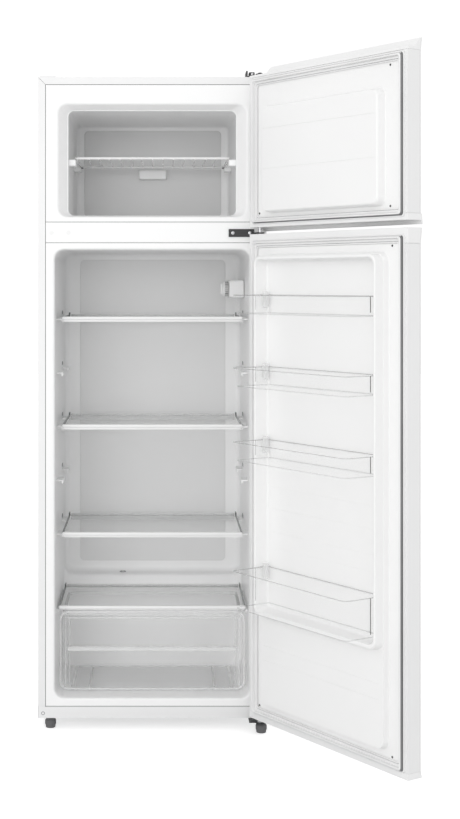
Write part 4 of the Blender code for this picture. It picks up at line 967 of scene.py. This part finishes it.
class BuildCrisper(bpy.types.Operator):
    """Clear drawer with a framed front, a grip rail and a ribbed floor"""

    bl_idname = "refrigerator.crisper"
    bl_label = "Crisper drawer"

    def execute(self, context):
        low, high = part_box("crisper_drawer")
        bm = bmesh.new()
        self.tub(bm, low, high)
        self.front(bm, low, high)
        finish("crisper_tub", bm, ["clear_plastic", "frosted"], "crisper_drawer",
               slot="clear_plastic", replaced=("crisper_drawer",))
        self.grip(low, high)
        self.ribs(low, high)
        return {"FINISHED"}

    @staticmethod
    def tub(bm, low, high):
        """Tapered walls with a rolled rim and a rounded foot. The front is left to the framed pane."""
        taper = 0.012
        half = (high.x - low.x) / 2 - 0.011
        # inset from the rim and height, from the floor to the rolled rim
        rows = [
            (taper + 0.012, low.z), (taper + 0.004, low.z + 0.003), (taper, low.z + 0.012),
            (0.0015, high.z - 0.008), (-0.004, high.z - 0.006), (-0.004, high.z),
            (0.0025, high.z), (0.0030, high.z - 0.006)]
        faces = []
        for inset, z in rows:
            inward = max(inset, 0.0)
            faces.append(ring(
                bm, (MIDDLE - half + inset, low.y + 0.0035 + inward * 0.2),
                (MIDDLE + half - inset, high.y - inward * 0.9), max(0.014 - inward * 0.3, 0.006), z, "Z"))
        loft(bm, faces, close_last=False, materials=(1, 0, 0, 1, 1, 1, 1))
        walls = [
            f for f in bm.faces if max(v.co.y for v in f.verts) < low.y + 0.008
            and max(v.co.z for v in f.verts) < high.z - 0.007]
        bmesh.ops.delete(bm, geom=walls, context="FACES")

    @staticmethod
    def ribs(low, high):
        """Ribs of the floor and the stiffening lines of the front."""
        bm = bmesh.new()
        half = (high.x - low.x) / 2
        for x in (-0.1535, 0.1535):
            add_box(bm, (MIDDLE + x - 0.0016, low.y + 0.010, low.z + 0.0020),
                    (MIDDLE + x + 0.0016, high.y - 0.030, low.z + 0.0070), 0.0012, 2)
        add_rod(bm, (MIDDLE - half + 0.036, high.y - 0.024, low.z + 0.0035),
                (MIDDLE + half - 0.036, high.y - 0.024, low.z + 0.0035), 0.0014, 8)
        for rise, tall in ((0.0075, 0.0016), (0.0150, 0.0024)):
            add_box(bm, (MIDDLE - half + 0.013, low.y - 0.0002, high.z - rise - tall),
                    (MIDDLE + half - 0.013, low.y + 0.0020, high.z - rise), 0.0006, 1)
        for side in (-1, 1):
            for reach, thick in ((0.0140, 0.0018), (0.0245, 0.0014)):
                x = MIDDLE + side * (half - reach)
                add_box(bm, (x - thick / 2, low.y - 0.0002, low.z + 0.012),
                        (x + thick / 2, low.y + 0.0020, high.z - 0.009), 0.0005, 1)
        finish("crisper_ribs", bm, "frosted", "crisper_drawer", slot="clear_plastic")

    @staticmethod
    def front(bm, low, high):
        """Clear pane in a raised frame with round corners."""
        half = (high.x - low.x) / 2
        # inset, corner radius and depth of the frame's section
        section = [
            (0.0, 0.022, 0.0030), (0.0, 0.022, 0.0006), (0.0012, 0.021, 0.0), (0.0034, 0.019, 0.0),
            (0.0042, 0.018, 0.0010), (0.0042, 0.018, 0.0030)]
        formed(bm, [
            (half - inset, low.z + inset, high.z - inset, radius, low.y + depth)
            for inset, radius, depth in section], materials=(1,) * 6, join_ends=True)
        ring(bm, (MIDDLE - half + 0.0042, low.z + 0.0042),
             (MIDDLE + half - 0.0042, high.z - 0.0042), 0.018, low.y + 0.0018)

    @staticmethod
    def grip(low, high):
        """Pale rail across the front to pull the drawer by."""
        rise = low.z + 0.0965
        bm = bmesh.new()
        left, right, front = MIDDLE - 0.207, MIDDLE + 0.207, low.y - 0.0075
        add_box(bm, (left, front, rise + 0.0070), (right, low.y + 0.0008, rise + 0.0100), 0.0012)
        add_box(bm, (left, front, rise), (right, low.y - 0.0050, rise + 0.0095), 0.0010)
        finish("crisper_grip_rail", bm, "frosted", "crisper_drawer", slot="clear_plastic")


class BuildWireShelf(bpy.types.Operator):
    """Wire shelf of the freezer"""

    bl_idname = "refrigerator.wire_shelf"
    bl_label = "Wire shelf"

    def execute(self, context):
        shape = context.scene.refrigerator_shape
        low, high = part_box("freezer_wire_shelf")
        thick = 0.0030
        bm = bmesh.new()
        z = high.z - thick
        corners = [
            (low.x + thick, low.y + thick, z), (high.x - thick, low.y + thick, z),
            (high.x - thick, high.y - thick, z), (low.x + thick, high.y - thick, z),
        ]
        wire(bm, bends(corners, 0.012, cyclic=True), thick, cyclic=True)
        step = (high.x - low.x - 4 * thick) / (shape.wires + 1)
        for n in range(shape.wires):
            x = low.x + 2 * thick + step * (n + 1)
            path = [
                (x, low.y + thick, high.z - 0.0062), (x, low.y + thick * 2.2, high.z - 0.0013),
                (x, high.y - thick * 2.2, high.z - 0.0013), (x, high.y - thick, high.z - 0.0062)]
            wire(bm, bends(path, 0.003), 0.0017)
        add_rod(bm, (low.x + thick, high.y - 0.020, high.z - 0.0045),
                (high.x - thick, high.y - 0.020, high.z - 0.0045), 0.0017, 10)
        finish("freezer_wire_rack", bm, "coated_wire", "freezer_wire_shelf", replaced=("freezer_wire_shelf",))
        clips = bmesh.new()
        for x in (low.x + 0.0045, high.x - 0.0045):
            add_box(clips, (x - 0.0040, high.y - 0.024, low.z - 0.0002),
                    (x + 0.0040, high.y - 0.004, low.z + 0.0022), 0.0006, 1)
        finish("wire_rack_clips", clips, "grey_plastic", "freezer_wire_shelf")
        return {"FINISHED"}


class BuildThermostat(bpy.types.Operator):
    """Housing of lamp and thermostat with its turning knob"""

    bl_idname = "refrigerator.thermostat"
    bl_label = "Thermostat"

    def execute(self, context):
        refined("thermostat_housing", "thermostat_case", bevel=0.0055, look="white_plastic")
        refined("lamp_lens", "lamp_cover", bevel=0.002, look="lamp_lens")
        self.knob()
        return {"FINISHED"}

    @staticmethod
    def knob():
        low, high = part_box("thermostat_knob")
        centre = (high.x, (low.y + high.y) / 2, (low.z + high.z) / 2)
        radius = (high.y - low.y) / 2
        depth = high.x - low.x
        bm = bmesh.new()
        profile = [
            (0, 0), (radius * 0.90, 0), (radius * 0.94, 0.0008), (radius * 0.94, depth * 0.55),
            (radius * 0.88, depth * 0.62), (radius * 0.5, depth * 0.64), (0, depth * 0.64)]
        turned_profile(bm, profile, centre, "-X", 48)
        count = 22
        for n in range(count):
            turn = math.tau * n / count
            y = centre[1] + math.cos(turn) * radius * 0.93
            z = centre[2] + math.sin(turn) * radius * 0.93
            add_rod(bm, (high.x - 0.0005, y, z), (high.x - depth * 0.55, y, z), radius * 0.065, 8)
        add_box(bm, (high.x - depth * 0.80, centre[1] - 0.0035, centre[2] - radius * 0.7),
                (high.x - depth * 0.5, centre[1] + 0.0035, centre[2] + radius * 0.7), 0.0016)
        finish("thermostat_dial", bm, "white_plastic", "thermostat_knob", replaced=("thermostat_knob",))
        # painted shade: dark rods set into the grooves between the ridges of the dial's rim
        bm = bmesh.new()
        for n in range(count):
            turn = math.tau * (n + 0.5) / count
            y = centre[1] + math.cos(turn) * radius * 0.955
            z = centre[2] + math.sin(turn) * radius * 0.955
            add_rod(bm, (high.x - 0.0008, y, z), (high.x - depth * 0.36, y, z), radius * 0.050, 6)
        finish("thermostat_dial_groove_shade", bm, "dark_hole", "thermostat_knob", slot="grey_plastic")


class BuildDoors(bpy.types.Operator):
    """Door skins, end caps, formed liners and magnetic seals"""

    bl_idname = "refrigerator.doors"
    bl_label = "Doors"

    def execute(self, context):
        for door in ("freezer_door", "fridge_door"):
            refined(f"{door}_panel", f"{door}_skin", look="white_steel")
            refined(f"{door}_top_cap", f"{door}_upper_cap", bevel=0.0008, look="white_plastic")
            refined(f"{door}_bottom_cap", f"{door}_lower_cap", bevel=0.0008, look="white_plastic")
            self.seal(door)
        self.freezer_inner()
        self.fridge_inner()
        return {"FINISHED"}

    @staticmethod
    def plate(door):
        """The flat edge of a door liner, as the first rows of its form, and its level."""
        low, high = shut_box(f"{door}_liner")
        level = DOOR_FACE
        edge = ((high.x - low.x) / 2, low.z, high.z, 0.0005)
        return [(*edge, level - 0.0018), (*edge, level)], level

    @staticmethod
    def grooved(bm, half, heights, front, back, thick):
        """Cuts level grooves into a liner at the given heights."""
        for z in heights:
            groove = bmesh.new()
            add_box(groove, (MIDDLE - half, front, z - thick), (MIDDLE + half, back, z + thick))
            bm = cut(bm, groove)
        return bm

    @staticmethod
    def freezer_inner():
        rows, level = BuildDoors.plate("freezer_door")
        low, high = 1.2415, 1.492
        rows += [
            (0.2050, low, high, 0.018, level),
            (0.2030, low + 0.0025, high - 0.0025, 0.017, level + 0.018),
            (0.2005, low + 0.0050, high - 0.0050, 0.015, level + 0.022)]
        bm = bmesh.new()
        formed(bm, rows, fillets=(0, 0, 0.003, 0.002, 0.002))
        bm = BuildDoors.grooved(bm, 0.194, (1.438, 1.344), level + 0.0210, level + 0.030, 0.0007)
        finish("freezer_door_inner", bm, "door_liner", "freezer_door", slot="liner_plastic",
               replaced=("freezer_door_liner",), shut=True)
        BuildDoors.fixings("freezer_door", [(-0.2199, 1.5385), (-0.2199, 1.2400), (0.2370, 1.2420)])

    @staticmethod
    def fridge_inner():
        rows, level = BuildDoors.plate("fridge_door")
        low, high, bar = 0.0885, 1.143, 0.300
        panel, top = level + 0.0145, level + 0.037
        rows += [
            (0.2165, low, high, 0.022, level),
            (0.2145, low + 0.0020, high - 0.0020, 0.021, panel),
            (0.2135, bar, high - 0.0030, 0.020, panel),
            (0.2125, bar + 0.0030, high - 0.0040, 0.020, top),
            (0.2062, bar + 0.0120, high - 0.0110, 0.016, top),
            (0.2042, bar + 0.0160, high - 0.0140, 0.014, level + 0.001)]
        bm = bmesh.new()
        formed(bm, rows, fillets=(0, 0, 0.003, 0, 0, 0.0022, 0.0022, 0.006))
        bm = BuildDoors.grooved(bm, 0.200, (0.228, 0.194), panel - 0.0008, panel + 0.010, 0.0008)
        recess = (0.600, 0.550, 0.495, 0.458)
        bm = BuildDoors.grooved(bm, 0.186, recess, level + 0.0004, level + 0.012, 0.0007)
        finish("fridge_door_inner", bm, "door_liner", "fridge_door", slot="liner_plastic",
               replaced=("fridge_door_liner",), shut=True)
        BuildDoors.fixings("fridge_door", [(-0.2260, 1.1560), (-0.2260, 0.0770), (0.2370, 0.0770)])

    @staticmethod
    def fixings(door, places):
        """Small plugs in the corners of a door liner."""
        bm = bmesh.new()
        plug = [(0, 0.0012), (0.0018, 0.0010), (0.0025, 0.0002), (0.0025, -0.0006), (0, -0.0006)]
        for x, z in places:
            turned_profile(bm, plug, (MIDDLE + x, DOOR_FACE, z), "Y", 16)
        finish(f"{door}_plugs", bm, "dark_hole", door, slot="grey_plastic", shut=True)

    @staticmethod
    def seal(door):
        """Seal with an outer rim, a magnet bead, a bellows and an inner lip, with painted shade on the
        bellows' groove wall along the free side and in the groove by the inner lip."""
        low, high = shut_box(f"{door}_gasket")
        base, height = low.y, high.y - low.y
        # inset from the outer edge, height as a share, and the look of the strip up to here:
        # 0 rubber, 1 painted shade in the bellows' groove, 2 painted shade of a hollow
        profile = [
            (0.0, 0.0, 0), (0.0, 0.30, 0), (0.0018, 0.34, 0), (0.0022, 0.10, 0),
            (0.0042, 0.10, 1), (0.0046, 0.82, 1), (0.0054, 0.97, 0), (0.0074, 1.0, 0),
            (0.0082, 0.92, 0), (0.0086, 0.20, 0), (0.0092, 0.14, 0), (0.0100, 0.28, 0),
            (0.0140, 0.30, 0), (0.0146, 0.10, 0), (0.0152, 0.10, 2), (0.0157, 0.20, 0),
            (0.0180, 0.16, 0), (0.0180, 0.0, 0)]
        bm = bmesh.new()
        faces = [
            ring(bm, (low.x + inset, low.z + inset), (high.x - inset, high.z - inset), 0.007,
                 base + share * height)
            for inset, share, _ in profile]
        loft(bm, faces, join_ends=True, materials=[dark for _, _, dark in profile[1:]])
        # painted shade: the dark groove stays only along the free side; along the bottom it becomes the lighter
        # painted shade of a hollow, elsewhere plain rubber
        for face in bm.faces:
            centre = face.calc_center_median()
            if face.material_index == 1 and centre.x > low.x + 0.012:
                face.material_index = 2 if centre.z < low.z + 0.012 else 0
        finish(f"{door}_seal", bm, ["gasket_rubber", "seal_groove_shade", "hollow"], door,
               slot="gasket_rubber", replaced=(f"{door}_gasket",), shut=True)


class BuildBins(bpy.types.Operator):
    """Clear bins on the inside of the door"""

    bl_idname = "refrigerator.bins"
    bl_label = "Door bins"

    def execute(self, context):
        for number in (1, 2, 3, 4):
            self.tray(f"door_bin_{number}")
        return {"FINISHED"}

    @staticmethod
    def tray(node):
        low, high = shut_box(node)
        half = (high.x - low.x) / 2 + 0.0070
        wall, lean = 0.0020, 0.006
        # inset at the sides and front, inset at the rear and height, from outside to inside
        rows = [
            (lean + 0.0050, 0.003, low.z), (lean + 0.0012, 0.001, low.z + 0.0016),
            (lean, 0.0, low.z + 0.0040), (0.0012, 0.0, high.z - 0.0020),
            (0.0, 0.0, high.z - 0.0016), (0.0, 0.0, high.z), (wall, wall, high.z),
            (wall + 0.0004, wall, high.z - 0.0020)]
        bm = bmesh.new()
        faces = [
            ring(bm, (MIDDLE - half + inset, low.y + rear), (MIDDLE + half - inset, high.y - inset),
                 0.015, z, "Z", radius_low=0.006)
            for inset, rear, z in rows]
        # painted shade: the band above the foot and the rim bands take the darker clear edge look
        loft(bm, faces, close_last=False, materials=(0, 1, 0, 1, 1, 1, 1))
        for side in (-1, 1):
            side_box(bm, side, half - 0.0120, half - 0.0012,
                     (low.y + 0.003, high.z - 0.030), (low.y + 0.017, high.z + 0.008), 0.0040)
            side_box(bm, side, half + 0.0002, half - 0.0014, (DOOR_FACE + 0.0385, low.z + 0.010),
                     (DOOR_FACE + 0.0398, high.z - 0.001), 0.0004, 1)
        # painted shade: the thin strip where a bin's side meets the door's ridge is coloured dark on the left side
        # and in the darker clear edge look on the right
        for face in bm.faces:
            centre = face.calc_center_median()
            reach = abs(centre.x - MIDDLE)
            on_hook = reach > half - 0.0125 and centre.y < low.y + 0.0175 and centre.z > high.z - 0.031
            on_strip = (
                DOOR_FACE + 0.0380 < centre.y < DOOR_FACE + 0.0400 and reach > half - 0.002
                and face.calc_area() < 2e-4 and low.z + 0.009 < centre.z < high.z)
            if on_hook and face.material_index == 0:
                face.material_index = 2
            elif on_strip:
                face.material_index = 3 if centre.x < MIDDLE else 1
        finish(f"{node}_tray", bm, ["clear_plastic", "clear_edge_shade", "frosted", "dark_hole"], node,
               slot="clear_plastic", replaced=(node,), shut=True)


class BuildMachine(bpy.types.Operator):
    """Compressor, drier and drip tray behind the cabinet"""

    bl_idname = "refrigerator.machine"
    bl_label = "Machine space"

    def execute(self, context):
        refined("compressor", "compressor_shell", look="black_steel")
        refined("compressor_terminal_cover", "terminal_cover", bevel=0.002, look="black_plastic")
        refined("filter_drier", "drier", look="copper")
        refined("drip_tray", "evaporation_tray", bevel=0.0008, look="black_plastic")
        refined("cord_gland", "gland", look="black_plastic")
        return {"FINISHED"}


class BuildStage(bpy.types.Operator):
    """Pale floor, soft light and the camera"""

    bl_idname = "refrigerator.stage"
    bl_label = "Stage"

    def execute(self, context):
        stage = context.scene.refrigerator_stage
        scene = context.scene
        scene.view_settings.view_transform = "Standard"
        self.floor(stage)
        self.world(stage)
        self.light(stage.front_light)
        camera = bpy.data.objects.new("camera", bpy.data.cameras.new("camera"))
        camera.location = (MIDDLE + stage.aside, -stage.distance, stage.eye)
        camera.rotation_euler = (math.pi / 2, 0, 0)
        camera.data.lens = stage.lens
        camera.data.shift_x, camera.data.shift_y = CAMERA_SHIFT
        camera.data.clip_end = 60
        scene.collection.objects.link(camera)
        scene.camera = camera
        return {"FINISHED"}

    @staticmethod
    def floor(stage):
        bm = bmesh.new()
        bmesh.ops.create_grid(bm, x_segments=4, y_segments=4, size=14)
        look, tree, shader = new_look("pale floor", stage.floor, 0.8, Emission_Color=(1, 1, 1, 1))
        path = tree.nodes.new("ShaderNodeLightPath")
        glow = spread(tree, path.outputs["Is Camera Ray"], FLOOR_CAST, FLOOR_SHOWN, 0.0, 1.0)
        tree.links.new(glow, shader.inputs["Emission Strength"])
        two_tone(tree, shader, noise(tree, 0.4), shade_of(stage.floor, 0.985), stage.floor)
        mesh = bpy.data.meshes.new("floor")
        bm.to_mesh(mesh)
        bm.free()
        mesh.materials.append(look)
        floor = bpy.data.objects.new("floor", mesh)
        bpy.context.scene.collection.objects.link(floor)

    @staticmethod
    def world(stage):
        world = bpy.data.worlds.new("surround")
        world.use_nodes = True
        background = world.node_tree.nodes["Background"]
        background.inputs["Color"].default_value = (1, 1, 1, 1)
        background.inputs["Strength"].default_value = stage.sky
        backdrop = world.node_tree.nodes.new("ShaderNodeBackground")
        backdrop.inputs["Color"].default_value = (1, 1, 1, 1)
        backdrop.inputs["Strength"].default_value = BACKDROP_SHOWN
        path = world.node_tree.nodes.new("ShaderNodeLightPath")
        mix = world.node_tree.nodes.new("ShaderNodeMixShader")
        links = world.node_tree.links
        links.new(path.outputs["Is Camera Ray"], mix.inputs["Fac"])
        links.new(background.outputs["Background"], mix.inputs[1])
        links.new(backdrop.outputs["Background"], mix.inputs[2])
        links.new(mix.outputs["Shader"], world.node_tree.nodes["World Output"].inputs["Surface"])
        bpy.context.scene.world = world

    @staticmethod
    def light(power):
        lamp = bpy.data.lights.new("front light", "AREA")
        lamp.shape = "DISK"
        lamp.size = LIGHT_SIZE
        lamp.energy = power
        obj = bpy.data.objects.new("front light", lamp)
        obj.location = LIGHT_PLACE
        aim = Vector(LIGHT_TARGET) - Vector(LIGHT_PLACE)
        obj.rotation_euler = aim.to_track_quat("-Z", "Y").to_euler()
        bpy.context.scene.collection.objects.link(obj)


GROUPS = (
    MakeFinishes, BuildStage, BuildCabinet, BuildLiners, BuildMullion, BuildHinges, BuildFeet,
    BuildShelves, BuildCrisper, BuildWireShelf, BuildThermostat, BuildDoors, BuildBins, BuildMachine,
)


class RefrigeratorPanel(bpy.types.Panel):
    """Lists the pieces and their settings in the sidebar"""

    bl_idname = "VIEW3D_PT_refrigerator"
    bl_label = "Refrigerator"
    bl_space_type = "VIEW_3D"
    bl_region_type = "UI"
    bl_category = "Refrigerator"

    def draw(self, context):
        scene = context.scene
        for group in (scene.refrigerator_finish, scene.refrigerator_shape, scene.refrigerator_stage):
            box = self.layout.box()
            for key in group.bl_rna.properties.keys():
                if key not in ("rna_type", "name"):
                    box.prop(group, key)
        for operator in GROUPS:
            self.layout.operator(operator.bl_idname)


SETTINGS = {
    "refrigerator_finish": FinishSettings,
    "refrigerator_shape": ShapeSettings,
    "refrigerator_stage": StageSettings,
}


def register():
    for cls in (*SETTINGS.values(), *GROUPS, RefrigeratorPanel):
        bpy.utils.register_class(cls)
    for name, group in SETTINGS.items():
        setattr(bpy.types.Scene, name, PointerProperty(type=group))


def unregister():
    for name in SETTINGS:
        delattr(bpy.types.Scene, name)
    for cls in (RefrigeratorPanel, *reversed(GROUPS), *reversed(SETTINGS.values())):
        bpy.utils.unregister_class(cls)


def main():
    register()
    for group in GROUPS:
        family, name = group.bl_idname.split(".")
        getattr(getattr(bpy.ops, family), name)()


if __name__ == "__main__":
    main()
